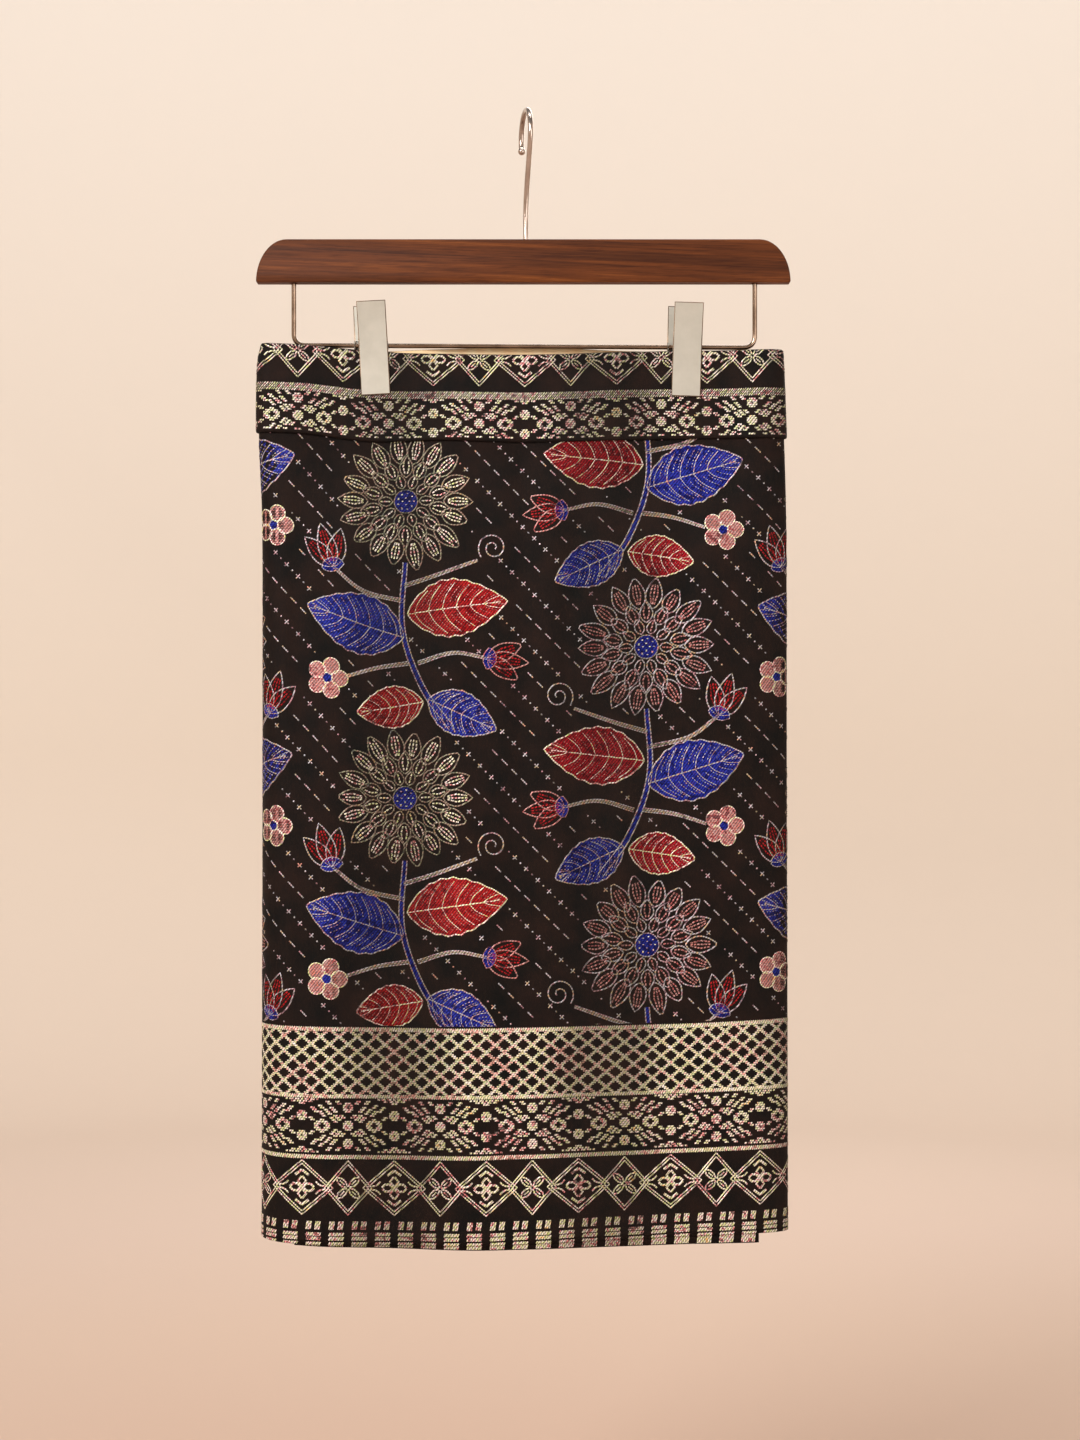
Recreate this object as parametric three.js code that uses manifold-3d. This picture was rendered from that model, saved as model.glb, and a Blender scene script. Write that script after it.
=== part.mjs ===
// A pre-tied samping, a tube of brocade cloth, held at its waist by the two clips of a wooden hanger.
// Millimetres. +Z is up, the front faces -Y, and the origin is the inside of the hook's top, where a rail holds it.
import * as THREE from 'three';
import Module from 'manifold-3d';
import { mergeVertices } from 'three/addons/utils/BufferGeometryUtils.js';

const { clamp, degToRad, lerp, mapLinear, smoothstep } = THREE.MathUtils;

// ---- driving dimensions: the hanger ----
const GAP = 0.3;
const HOOK = {
  wireRadius: 2.1,
  innerRadius: 17.5,
  bendHeight: -68,
  bendRun: 6,
  foot: -116,
  turn: degToRad(11),
  tipAngle: degToRad(-24),
  ballRadius: 2.9,
};
const WOOD = { centreX: -2, length: 416, top: -99, height: 33.5, thickness: 13, endRun: 24, bevel: 1.5 };
const WIRE = {
  radius: 1.85, left: -181, right: 178.5, leftHeight: -180.8, rightHeight: -182.6, corner: 9.4, socket: 12,
};
const CLIP = {
  width: 22.6, above: 33.5, below: 39, plate: 1.2, flare: 4.6, bend: 4.5,
  ear: 1, earRadius: 3.2, rearShift: -4, barrelRadius: 3.1,
};
const CLIPS = [
  { name: 'left', x: -118.6, lean: degToRad(-2.9) },
  { name: 'right', x: 125.7, lean: degToRad(1.9) },
];

// ---- driving dimensions: the cloth ----
const CLOTH = { wall: 1.2, band: 2, facing: 1 };
// rows of the panels, as heights of cloth below the top edge
const FACING_ROWS = [0, 17, 34];
const BAND_ROWS = [...FACING_ROWS, 51, 68];
const ROWS = [...BAND_ROWS, 92, 116, 140, 170, 205, 245, 290, 340, 395, 450, 505, 560, 610, 650, 683, 687];
// half the stack that a clip holds: the tube's own outer face lies this far from the middle plane there
const CLAMPED = CLOTH.wall + GAP + CLOTH.wall;
const JAW_FACE = CLAMPED + GAP + CLOTH.band + GAP + GAP / 2;
const PINCH = { flat: 24, reach: 40, full: 44, fade: 120 };
// the inner lap hangs behind the front, between two of its columns; its hem is a strip of its own, a little lower
const OVERLAP = { firstColumn: 6, spareColumns: 3, hemRows: 2, dropLeft: 1.5, dropRight: 7.5 };

// sections of the flattened tube: v is the height of cloth below the top edge
const SECTIONS = table(
  ['v', 'left', 'right', 'front', 'back', 'leftRun', 'rightRun', 'backRun'],
  [
    [0, -204.6, 198.6, 6.5, 6.5, 7, 8, 7],
    [14, -207.4, 199.4, 6.8, 6.7, 8, 12, 8],
    [68, -208.3, 201.4, 9, 8, 12, 30, 12],
    [134, -205.8, 203.1, 14, 10, 18, 60, 18],
    [260, -205.3, 203.6, 20, 12, 23, 95, 30],
    [420, -205.4, 203.9, 25, 14, 26, 120, 45],
    [560, -205.7, 204.2, 28, 15, 28, 135, 55],
    [687, -205.9, 204.4, 29, 16, 28, 140, 60],
  ],
);

// heights of the level lines of the cloth at eight stations across it, from the left fold to the right
const STATIONS = [0, 0.1, 0.217, 0.35, 0.53, 0.75, 0.817, 1];
const LINE_COLUMNS = [
  'v', 'left', 'nearLeft', 'leftClip', 'leftMiddle', 'middle', 'rightMiddle', 'rightClip', 'right',
];
const FRONT_LINES = table(LINE_COLUMNS, [
  [0, -180.7, -182.6, -186.9, -189.3, -189.9, -187, -186.6, -185.6],
  [68, -248.8, -250.9, -256, -255.9, -257.2, -254.5, -254.2, -253.5],
  [524, -709, -710, -711, -711.6, -710.9, -708.6, -707.8, -706],
  [687, -873.6, -875.2, -876.3, -876.7, -875.2, -870.6, -869.4, -870],
]);
const BACK_LINES = table(LINE_COLUMNS, [
  [0, -180.7, -182.9, -185.8, -183.4, -182.2, -185.9, -186.8, -185.6],
  [68, -248.8, -249.6, -250.4, -250.2, -250.4, -251.2, -252.2, -253.5],
  [524, -709, -709, -709, -708.8, -708.5, -708, -707.4, -706],
  [687, -873.6, -872.6, -872, -871.6, -871, -870.4, -870.2, -870],
]);

// soft standing folds: out is how far the cloth stands out (+) or sinks in (-) along the fold
const FOLD_COLUMNS = ['x', 'halfWidth', 'from', 'to', 'out'];
const FRONT_FOLDS = table(FOLD_COLUMNS, [
  [-152, 22, 300, 760, 2],
  [-100, 30, 240, 760, -2.2],
  [-40, 26, 330, 760, 2.2],
  [-4, 10, 40, 360, -1.8],
  [52, 40, 300, 760, -2],
  [132, 26, 340, 760, 1.8],
  [-117, 13, 60, 210, -2.4],
  [124, 13, 60, 220, -2.4],
]);
const BACK_FOLDS = table(FOLD_COLUMNS, [
  [-132, 26, 160, 760, -2],
  [-50, 30, 300, 760, 2],
  [28, 14, 50, 420, -2],
  [98, 30, 240, 760, -2.2],
  [158, 18, 320, 760, 1.6],
  [-118, 13, 60, 200, -2.2],
]);
const FOLD_FADE = 60;

const FRONT = {
  sign: -1, depth: 'front', leftRun: 'leftRun', rightRun: 'rightRun',
  lines: FRONT_LINES, folds: FRONT_FOLDS, leftSteps: 6, middleSteps: 24, rightSteps: 8,
};
const BACK = {
  sign: 1, depth: 'back', leftRun: 'backRun', rightRun: 'backRun',
  lines: BACK_LINES, folds: BACK_FOLDS, leftSteps: 5, middleSteps: 22, rightSteps: 5,
};

const COLOURS = {
  cloth: 0x1e1915, band: 0x2a2420, facing: 0xefc795, wood: 0x6d4430, steel: 0xd8cfc4, plate: 0xd9ccb9,
};

// ---- tables and interpolation ----
function table(columns, rows) {
  return rows.map((row) => Object.fromEntries(columns.map((name, i) => [name, row[i]])));
}

// a smooth curve through the points (xs, ys), straight on past both ends
function through(xs, ys, x) {
  const last = xs.length - 1;
  const slope = (i) => {
    const a = Math.max(i - 1, 0);
    const b = Math.min(i + 1, last);
    return (ys[b] - ys[a]) / (xs[b] - xs[a]);
  };
  if (x <= xs[0]) return ys[0] + (x - xs[0]) * slope(0);
  if (x >= xs[last]) return ys[last] + (x - xs[last]) * slope(last);
  const i = xs.findIndex((value, k) => k < last && x <= xs[k + 1]);
  const span = xs[i + 1] - xs[i];
  const t = (x - xs[i]) / span;
  const t2 = t * t;
  const t3 = t2 * t;
  return (2 * t3 - 3 * t2 + 1) * ys[i] + (t3 - 2 * t2 + t) * span * slope(i)
    + (3 * t2 - 2 * t3) * ys[i + 1] + (t3 - t2) * span * slope(i + 1);
}

function column(rows, name, v) {
  return through(rows.map((row) => row.v), rows.map((row) => row[name]), v);
}

// ---- the tube of cloth ----
function pinch(x, v) {
  const down = 1 - smoothstep(v, PINCH.full, PINCH.full + PINCH.fade);
  const across = CLIPS.map((clip) => 1 - smoothstep(Math.abs(x - clip.x), PINCH.flat, PINCH.flat + PINCH.reach));
  return down * Math.max(...across);
}

function foldsAt(folds, x, v) {
  return folds.reduce((sum, fold) => {
    const across = Math.exp(-(((x - fold.x) / fold.halfWidth) ** 2));
    const along = smoothstep(v, fold.from - FOLD_FADE, fold.from + FOLD_FADE)
      * (1 - smoothstep(v, fold.to - FOLD_FADE, fold.to + FOLD_FADE));
    return sum + fold.out * across * along;
  }, 0);
}

function lineHeight(side, share, v) {
  const heights = LINE_COLUMNS.slice(1).map((name) => {
    const rows = side.lines;
    const i = Math.min(rows.findIndex((row, k) => k === rows.length - 1 || v < rows[k + 1].v), rows.length - 2);
    const t = (v - rows[i].v) / (rows[i + 1].v - rows[i].v);
    return rows[i][name] + (rows[i + 1][name] - rows[i][name]) * t;
  });
  return through(STATIONS, heights, clamp(share, 0, 1));
}

// the outer face of the tube's front or back, s running from the left fold to the right fold
function panelPoint(side, s, v) {
  const steps = side.leftSteps + side.middleSteps + side.rightSteps;
  const leftShare = side.leftSteps / steps;
  const rightShare = side.rightSteps / steps;
  const left = column(SECTIONS, 'left', v);
  const right = column(SECTIONS, 'right', v);
  const leftRun = column(SECTIONS, side.leftRun, v);
  const rightRun = column(SECTIONS, side.rightRun, v);
  let x;
  let fullness = 1;
  if (s < leftShare) {
    const angle = (s / leftShare) * Math.PI / 2;
    x = left + leftRun * (1 - Math.cos(angle));
    fullness = Math.sin(angle);
  } else if (s > 1 - rightShare) {
    const angle = ((1 - s) / rightShare) * Math.PI / 2;
    x = right - rightRun * (1 - Math.cos(angle));
    fullness = Math.sin(angle);
  } else {
    const t = (s - leftShare) / (1 - leftShare - rightShare);
    x = lerp(left + leftRun, right - rightRun, t);
  }
  const held = pinch(x, v);
  const free = column(SECTIONS, side.depth, v) + foldsAt(side.folds, x, v) * Math.abs(fullness);
  const depth = lerp(free, CLAMPED, held) * fullness;
  const share = (x - left) / (right - left);
  return new THREE.Vector3(x, side.sign * (GAP / 2 + depth), lineHeight(side, share, v));
}

function panelNormal(side, s, v) {
  const h = 1e-3;
  const across = panelPoint(side, s + h, v).sub(panelPoint(side, s - h, v));
  const down = panelPoint(side, s, v + 1).sub(panelPoint(side, s, v - 1));
  return down.cross(across).multiplyScalar(side.sign * -1).normalize();
}

// a closed wall: its outer face is the panel moved out by lift, its inner face lies one thickness further in
function panelWall({ side, lift, thickness, stations, rows, drop = () => 0 }) {
  const positions = [];
  const index = [];
  const columns = stations.length;
  const face = columns * rows.length;
  for (const out of [lift, lift - thickness]) {
    rows.forEach((v, j) => {
      for (const s of stations) {
        const down = j === rows.length - 1 ? v + drop(s) : v;
        const point = panelPoint(side, s, down).addScaledVector(panelNormal(side, s, down), out);
        positions.push(point.x, point.y, point.z);
      }
    });
  }
  const quad = (a, b, c, d) => {
    const corners = side.sign < 0 ? [a, b, c, a, c, d] : [a, c, b, a, d, c];
    index.push(...corners);
  };
  for (let j = 0; j < rows.length - 1; j += 1) {
    for (let i = 0; i < columns - 1; i += 1) {
      const a = j * columns + i;
      quad(a, a + columns, a + columns + 1, a + 1);
      quad(face + a, face + a + 1, face + a + columns + 1, face + a + columns);
    }
  }
  for (let i = 0; i < columns - 1; i += 1) {
    const low = (rows.length - 1) * columns + i;
    quad(i, i + 1, face + i + 1, face + i);
    quad(low, face + low, face + low + 1, low + 1);
  }
  for (let j = 0; j < rows.length - 1; j += 1) {
    const a = j * columns;
    const b = a + columns - 1;
    quad(a, face + a, face + a + columns, a + columns);
    quad(b, b + columns, face + b + columns, face + b);
  }
  const geometry = new THREE.BufferGeometry();
  geometry.setAttribute('position', new THREE.Float32BufferAttribute(positions, 3));
  geometry.setIndex(index);
  geometry.computeVertexNormals();
  return geometry;
}

// the panel's own columns, so that layers on it follow its facets
function stationsOf(side, first = 0, spare = 0) {
  const steps = side.leftSteps + side.middleSteps + side.rightSteps;
  return Array.from({ length: steps - first - spare + 1 }, (_, k) => (first + k) / steps);
}

const OVERLAP_STATIONS = stationsOf(FRONT, OVERLAP.firstColumn, OVERLAP.spareColumns);

function bodyWall(side) {
  return panelWall({ side, lift: 0, thickness: CLOTH.wall, stations: stationsOf(side), rows: ROWS });
}

function bandWall(side) {
  return panelWall({
    side, lift: GAP + CLOTH.band, thickness: CLOTH.band, stations: stationsOf(side), rows: BAND_ROWS,
  });
}

function overlapWall(rows, drop) {
  return panelWall({
    side: FRONT, lift: -CLOTH.wall - GAP, thickness: CLOTH.wall, stations: OVERLAP_STATIONS, rows, drop,
  });
}

function overlapDrop(s) {
  const [left, right] = [OVERLAP_STATIONS[0], OVERLAP_STATIONS[OVERLAP_STATIONS.length - 1]];
  return mapLinear(s, left, right, OVERLAP.dropLeft, OVERLAP.dropRight);
}

function facingWall() {
  return panelWall({
    side: BACK, lift: -CLOTH.wall - GAP, thickness: CLOTH.facing, stations: stationsOf(BACK, 1, 1),
    rows: FACING_ROWS,
  });
}

// ---- joining and cutting ----
const wasm = await Module();
wasm.setup();

function solid(geometry) {
  const bare = geometry.clone();
  bare.deleteAttribute('normal');
  bare.deleteAttribute('uv');
  const merged = mergeVertices(bare, 1e-5);
  return new wasm.Manifold(new wasm.Mesh({
    numProp: 3,
    vertProperties: Float32Array.from(merged.attributes.position.array),
    triVerts: Uint32Array.from(merged.index.array),
  }));
}

function fromSolid(manifold) {
  const mesh = manifold.getMesh();
  const geometry = new THREE.BufferGeometry();
  geometry.setAttribute('position', new THREE.Float32BufferAttribute(mesh.vertProperties, 3));
  geometry.setIndex(Array.from(mesh.triVerts));
  geometry.computeVertexNormals();
  return geometry;
}

const joined = (geometries) => geometries.map(solid).reduce((a, b) => a.add(b));
const without = (body, cutters) => cutters.map(solid).reduce((a, b) => a.subtract(b), body);

// ---- round wire ----
function wireAlong(curve, radius, sides, steps) {
  const section = new THREE.Shape();
  for (let i = 0; i < sides; i += 1) {
    const angle = (i / sides) * Math.PI * 2;
    const point = [radius * Math.cos(angle), radius * Math.sin(angle)];
    if (i === 0) section.moveTo(...point);
    else section.lineTo(...point);
  }
  return new THREE.ExtrudeGeometry(section, { steps, extrudePath: curve, curveSegments: 1 });
}

// a path of straight runs whose corners are rounded
function roundedPath(points, radius) {
  const path = new THREE.CurvePath();
  let start = points[0];
  for (let i = 1; i < points.length - 1; i += 1) {
    const toLast = points[i - 1].clone().sub(points[i]).normalize();
    const toNext = points[i + 1].clone().sub(points[i]).normalize();
    const cut = radius / Math.tan(toLast.angleTo(toNext) / 2);
    const enter = points[i].clone().addScaledVector(toLast, cut);
    const leave = points[i].clone().addScaledVector(toNext, cut);
    path.add(new THREE.LineCurve3(start, enter));
    path.add(new THREE.QuadraticBezierCurve3(enter, points[i], leave));
    start = leave;
  }
  path.add(new THREE.LineCurve3(start, points[points.length - 1]));
  return path;
}

// the hook's wire in its own plane, from the foot in the wood, over the rail and down behind it
function hookPoints() {
  const radius = HOOK.innerRadius + HOOK.wireRadius;
  const centre = -HOOK.innerRadius;
  const reach = centre - HOOK.bendHeight;
  const touch = -Math.asin(radius / reach);
  const toPlane = (out, up) => new THREE.Vector3(
    out * Math.sin(HOOK.turn), -out * Math.cos(HOOK.turn), up,
  );
  const points = [HOOK.foot, WOOD.top, HOOK.bendHeight - HOOK.bendRun].map((up) => toPlane(0, up));
  // the neck leans out from the bend until it touches the circle over the rail
  const neck = Math.sqrt(reach ** 2 - radius ** 2);
  for (const share of [0.25, 0.6]) {
    points.push(toPlane(neck * share * Math.sin(-touch), HOOK.bendHeight + neck * share * Math.cos(touch)));
  }
  const turns = 14;
  for (let i = 0; i <= turns; i += 1) {
    const angle = lerp(touch, Math.PI - HOOK.tipAngle, i / turns);
    points.push(toPlane(radius * Math.cos(angle), centre + radius * Math.sin(angle)));
  }
  return points;
}

function hookGeometry() {
  const points = hookPoints();
  const wire = wireAlong(new THREE.CatmullRomCurve3(points), HOOK.wireRadius, 8, 48);
  const ball = new THREE.SphereGeometry(HOOK.ballRadius, 10, 7);
  ball.translate(...points[points.length - 1].toArray());
  return fromSolid(joined([wire, ball]));
}

// ---- the wooden bar ----
function woodGeometry() {
  const half = WOOD.length / 2;
  const end = WOOD.endRun;
  const shape = new THREE.Shape();
  shape.moveTo(-half, 0);
  shape.lineTo(half, 0);
  shape.absellipse(half - end, 0, end, WOOD.height, 0, Math.PI / 2, false);
  shape.lineTo(end - half, WOOD.height);
  shape.absellipse(end - half, 0, end, WOOD.height, Math.PI / 2, Math.PI, false);
  const board = new THREE.ExtrudeGeometry(shape, {
    depth: WOOD.thickness - 2 * WOOD.bevel, curveSegments: 7, bevelEnabled: true, bevelSegments: 2,
    bevelSize: WOOD.bevel, bevelThickness: WOOD.bevel, bevelOffset: -WOOD.bevel,
  });
  board.translate(0, 0, WOOD.bevel - WOOD.thickness / 2);
  board.rotateX(Math.PI / 2);
  board.translate(WOOD.centreX, 0, WOOD.top - WOOD.height);
  // a blind hole, cut by a cylinder that is centred on its mouth
  const socket = (x, mouth, depth, wireRadius) => {
    const radius = wireRadius + GAP;
    const hole = new THREE.CylinderGeometry(radius, radius, 2 * depth, 12);
    hole.rotateX(Math.PI / 2);
    hole.translate(x, 0, mouth);
    return hole;
  };
  return fromSolid(without(solid(board), [
    socket(0, WOOD.top, WOOD.top - HOOK.foot + GAP, HOOK.wireRadius),
    socket(WIRE.left, WOOD.top - WOOD.height, WIRE.socket, WIRE.radius),
    socket(WIRE.right, WOOD.top - WOOD.height, WIRE.socket, WIRE.radius),
  ]));
}

// ---- the clip bar: one wire, bent twice, with both ends in the wood ----
function wireHeight(x) {
  const share = (x - WIRE.left) / (WIRE.right - WIRE.left);
  return lerp(WIRE.leftHeight, WIRE.rightHeight, share);
}

function clipBarGeometry() {
  const top = WOOD.top - WOOD.height + WIRE.socket - GAP;
  const path = roundedPath([
    new THREE.Vector3(WIRE.left, 0, top),
    new THREE.Vector3(WIRE.left, 0, WIRE.leftHeight),
    new THREE.Vector3(WIRE.right, 0, WIRE.rightHeight),
    new THREE.Vector3(WIRE.right, 0, top),
  ], WIRE.corner);
  return wireAlong(path, WIRE.radius, 8, 60);
}

// ---- the clips ----
// an outline in the plane across the wire, (y, z), drawn out along X
function acrossX(outline, from, to) {
  const shape = new THREE.Shape(outline.map(([y, z]) => new THREE.Vector2(y, z)));
  const geometry = new THREE.ExtrudeGeometry(shape, { depth: to - from, bevelEnabled: false });
  geometry.applyMatrix4(new THREE.Matrix4().makeBasis(
    new THREE.Vector3(0, 1, 0), new THREE.Vector3(0, 0, 1), new THREE.Vector3(1, 0, 0),
  ));
  geometry.translate(from, 0, 0);
  return geometry;
}

// one half of a clip: a plate with its handle bent out, and two ears with a hole for the wire
function clipHalf(clip, sign, shift) {
  const left = shift - CLIP.width / 2;
  const right = shift + CLIP.width / 2;
  const inner = sign * JAW_FACE;
  const outer = sign * (JAW_FACE + CLIP.plate);
  const flare = sign * CLIP.flare;
  const plate = acrossX([
    [outer, -CLIP.below], [outer, CLIP.bend], [outer + flare, CLIP.above],
    [inner + flare, CLIP.above], [inner, CLIP.bend], [inner, -CLIP.below],
  ], left, right);
  // the ears follow the wire, which doesn't lean with the clip, and are rooted halfway into the plate
  const axis = (x) => x * Math.tan(clip.lean);
  const root = inner + sign * CLIP.plate / 2;
  const ear = (from) => {
    const outline = [[root, axis(from) - CLIP.earRadius]];
    const turns = 8;
    for (let i = 0; i <= turns; i += 1) {
      const angle = -Math.PI / 2 + (i / turns) * Math.PI;
      outline.push([-sign * CLIP.earRadius * Math.cos(angle), axis(from) + CLIP.earRadius * Math.sin(angle)]);
    }
    outline.push([root, axis(from) + CLIP.earRadius]);
    return acrossX(outline, from, from + CLIP.ear);
  };
  const hole = new THREE.CylinderGeometry(WIRE.radius + GAP, WIRE.radius + GAP, CLIP.width * 2, 12);
  hole.rotateZ(Math.PI / 2);
  hole.rotateY(-clip.lean);
  return fromSolid(without(joined([plate, ear(left), ear(right - CLIP.ear)]), [hole]));
}

// the spring is a short barrel round the wire, between the ears of both halves
function barrelGeometry() {
  const from = -CLIP.width / 2 + CLIP.ear + 2 * GAP;
  const to = CLIP.width / 2 + CLIP.rearShift - CLIP.ear - 2 * GAP;
  const inner = WIRE.radius + GAP;
  const outer = CLIP.barrelRadius;
  const profile = [[inner, from], [outer, from], [outer, to], [inner, to], [inner, from]];
  const geometry = new THREE.LatheGeometry(profile.map(([r, y]) => new THREE.Vector2(r, y)), 12);
  geometry.rotateZ(-Math.PI / 2);
  return geometry;
}

// ---- assembly ----
const samping = new THREE.Group();

function addMesh(parent, name, geometry, colour, roughness, metalness = 0) {
  const mesh = new THREE.Mesh(geometry, new THREE.MeshStandardMaterial({ color: colour, roughness, metalness }));
  mesh.name = name;
  parent.add(mesh);
  return mesh;
}

addMesh(samping, 'hook', hookGeometry(), COLOURS.steel, 0.25, 1);
addMesh(samping, 'wood_bar', woodGeometry(), COLOURS.wood, 0.5);
addMesh(samping, 'clip_bar', clipBarGeometry(), COLOURS.steel, 0.25, 1);

for (const clip of CLIPS) {
  const centre = new THREE.Group();
  centre.position.set(clip.x, 0, wireHeight(clip.x));
  const leaning = new THREE.Group();
  leaning.rotation.y = clip.lean;
  centre.add(leaning);
  samping.add(centre);
  addMesh(leaning, `clip_${clip.name}_front`, clipHalf(clip, -1, 0), COLOURS.plate, 0.35, 1);
  addMesh(leaning, `clip_${clip.name}_rear`, clipHalf(clip, 1, CLIP.rearShift), COLOURS.plate, 0.35, 1);
  addMesh(centre, `clip_${clip.name}_spring`, barrelGeometry(), COLOURS.steel, 0.25, 1);
}

addMesh(samping, 'cloth_front', bodyWall(FRONT), COLOURS.cloth, 0.85);
addMesh(samping, 'cloth_back', bodyWall(BACK), COLOURS.cloth, 0.85);
addMesh(samping, 'cloth_overlap', overlapWall(ROWS.slice(0, 1 - OVERLAP.hemRows), () => -GAP), COLOURS.cloth, 0.85);
addMesh(samping, 'cloth_overlap_hem', overlapWall(ROWS.slice(-OVERLAP.hemRows), overlapDrop), COLOURS.cloth, 0.85);
addMesh(samping, 'waistband_front', bandWall(FRONT), COLOURS.band, 0.85);
addMesh(samping, 'waistband_back', bandWall(BACK), COLOURS.band, 0.85);
addMesh(samping, 'waist_facing', facingWall(), COLOURS.facing, 0.9);

export default samping;
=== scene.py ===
# The looks of the pre-tied samping: cloth over the frame's solids, raised brocade threads, a finished hanger.
import math

import bmesh
import bpy
import numpy as np
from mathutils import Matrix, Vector


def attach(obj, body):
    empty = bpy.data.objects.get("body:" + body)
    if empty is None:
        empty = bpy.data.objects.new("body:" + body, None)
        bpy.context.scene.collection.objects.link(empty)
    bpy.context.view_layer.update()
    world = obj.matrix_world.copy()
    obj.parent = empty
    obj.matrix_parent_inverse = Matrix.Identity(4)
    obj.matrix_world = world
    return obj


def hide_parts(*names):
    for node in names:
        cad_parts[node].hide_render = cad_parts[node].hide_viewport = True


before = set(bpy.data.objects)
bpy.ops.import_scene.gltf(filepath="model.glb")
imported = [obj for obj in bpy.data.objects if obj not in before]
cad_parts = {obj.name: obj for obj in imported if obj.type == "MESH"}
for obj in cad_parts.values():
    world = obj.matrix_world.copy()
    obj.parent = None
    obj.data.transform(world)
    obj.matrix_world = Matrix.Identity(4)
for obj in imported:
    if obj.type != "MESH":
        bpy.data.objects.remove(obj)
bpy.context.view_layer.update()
MM = 0.001

# ---- camera: metres here and on the stage, millimetres everywhere else until an object is made ----
camera_data = bpy.data.cameras.new("camera")
camera_data.sensor_fit = "VERTICAL"
camera_data.sensor_height = 24
camera_data.lens = 39.53
camera = bpy.data.objects.new("camera", camera_data)
camera.location = (0.011, -1.85, -0.473)
camera.rotation_euler = (math.radians(90), 0, 0)
bpy.context.collection.objects.link(camera)
bpy.context.scene.camera = camera

# ---- driving dimensions, the same as the frame's ----
GAP, WALL = 0.3, 1.2
HOOK = dict(wire=2.1, inner=17.5, bend=-68, bend_run=6, foot=-116, ball=2.9,
            turn=math.radians(11), tip=math.radians(-24))
WOOD = dict(top=-99, height=33.5)
WIRE = dict(radius=1.85, left=-181, right=178.5, left_height=-180.8, right_height=-182.6,
            corner=9.4, socket=12)
CLIP = dict(width=22.6, ear=1, rear_shift=-4)
CLIPS = {"left": -118.6, "right": 125.7}
CLAMPED = WALL + GAP + WALL
PINCH = dict(flat=24, reach=40, full=44, fade=120)
LENGTH, BAND_HEIGHT, FACING_HEIGHT = 687, 68, 34
DROP_LEFT, DROP_RIGHT = 1.5, 7.5

# the tube's sections down its length: its folds, how far its faces stand out, how far its sides are rounded
SECTION_COLUMNS = ["v", "left", "right", "front", "back", "left_run", "right_run", "back_run"]
SECTIONS = dict(zip(SECTION_COLUMNS, np.array([
    [0, -204.6, 198.6, 6.5, 6.5, 7, 8, 7],
    [14, -207.4, 199.4, 6.8, 6.7, 8, 12, 8],
    [68, -208.3, 201.4, 9, 8, 12, 30, 12],
    [134, -205.8, 203.1, 14, 10, 18, 60, 18],
    [260, -205.3, 203.6, 20, 12, 23, 95, 30],
    [420, -205.4, 203.9, 25, 14, 26, 120, 45],
    [560, -205.7, 204.2, 28, 15, 28, 135, 55],
    [687, -205.9, 204.4, 29, 16, 28, 140, 60],
]).T))
# the cloth's level lines: heights at the stations across it, for rows down it
STATIONS = np.array([0, 0.1, 0.217, 0.35, 0.53, 0.75, 0.817, 1])
LINE_ROWS = np.array([0, 68, 524, 687])
LINES = {
    "front": np.array([
        [-180.7, -182.6, -186.9, -189.3, -189.9, -187, -186.6, -185.6],
        [-248.8, -250.9, -256, -255.9, -257.2, -254.5, -254.2, -253.5],
        [-709, -710, -711, -711.6, -710.9, -708.6, -707.8, -706],
        [-873.6, -875.2, -876.3, -876.7, -875.2, -870.6, -869.4, -870],
    ]),
    "back": np.array([
        [-180.7, -182.9, -185.8, -183.4, -182.2, -185.9, -186.8, -185.6],
        [-248.8, -249.6, -250.4, -250.2, -250.4, -251.2, -252.2, -253.5],
        [-709, -709, -709, -708.8, -708.5, -708, -707.4, -706],
        [-873.6, -872.6, -872, -871.6, -871, -870.4, -870.2, -870],
    ]),
}
# the broad folds, by side: x, half width, from, to, out
FOLDS = {
    "front": [
        (-152, 22, 300, 760, 2), (-100, 30, 240, 760, -2.2), (-40, 26, 330, 760, 2.2),
        (-4, 10, 40, 360, -1.8), (52, 40, 300, 760, -2), (132, 26, 340, 760, 1.8),
        (-117, 13, 60, 210, -2.4), (124, 13, 60, 220, -2.4),
    ],
    "back": [
        (-132, 26, 160, 760, -2), (-50, 30, 300, 760, 2), (28, 14, 50, 420, -2), (98, 30, 240, 760, -2.2),
        (158, 18, 320, 760, 1.6), (-118, 13, 60, 200, -2.2),
    ],
}
# smaller creases, in the looks alone, by side: x, half width, from, to, out, and how far x leans per mm down
CREASES = {
    "front": [
        (-176, 7, 90, 330, -0.8, 0.02), (-96, 9, 80, 260, -0.9, 0.06), (-58, 10, 100, 420, 0.8, 0.03),
        (18, 9, 90, 470, 0.8, 0.02), (44, 8, 78, 300, -0.8, -0.05), (84, 12, 150, 520, 0.8, -0.04),
        (160, 9, 90, 420, -0.9, 0.01), (182, 6, 110, 520, 0.7, 0.0), (-20, 12, 380, 700, -0.9, 0.04),
        (96, 9, 430, 700, -0.8, 0.05), (-132, 8, 450, 700, -0.8, -0.02),
    ],
    "back": [
        (-170, 8, 90, 360, -0.8, 0.02), (-88, 10, 90, 420, 0.8, 0.03), (-12, 9, 90, 470, 0.8, -0.02),
        (60, 9, 80, 330, -0.9, 0.05), (124, 12, 150, 560, 0.8, -0.03), (-30, 12, 420, 700, -0.9, 0.03),
    ],
}
# how far a fold or crease fades in and out: mm before and mm after where it starts, then where it ends
FOLD_FADE = (60, 60, 60, 60)
CREASE_FADE = (20, 50, 60, 30)
# the creases' depth over their table's, and how they waver: mm aside and the wave's length over 2 pi
CREASE_GAIN, WAVER, WAVER_LENGTH = 1.3, 3, 47
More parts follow.
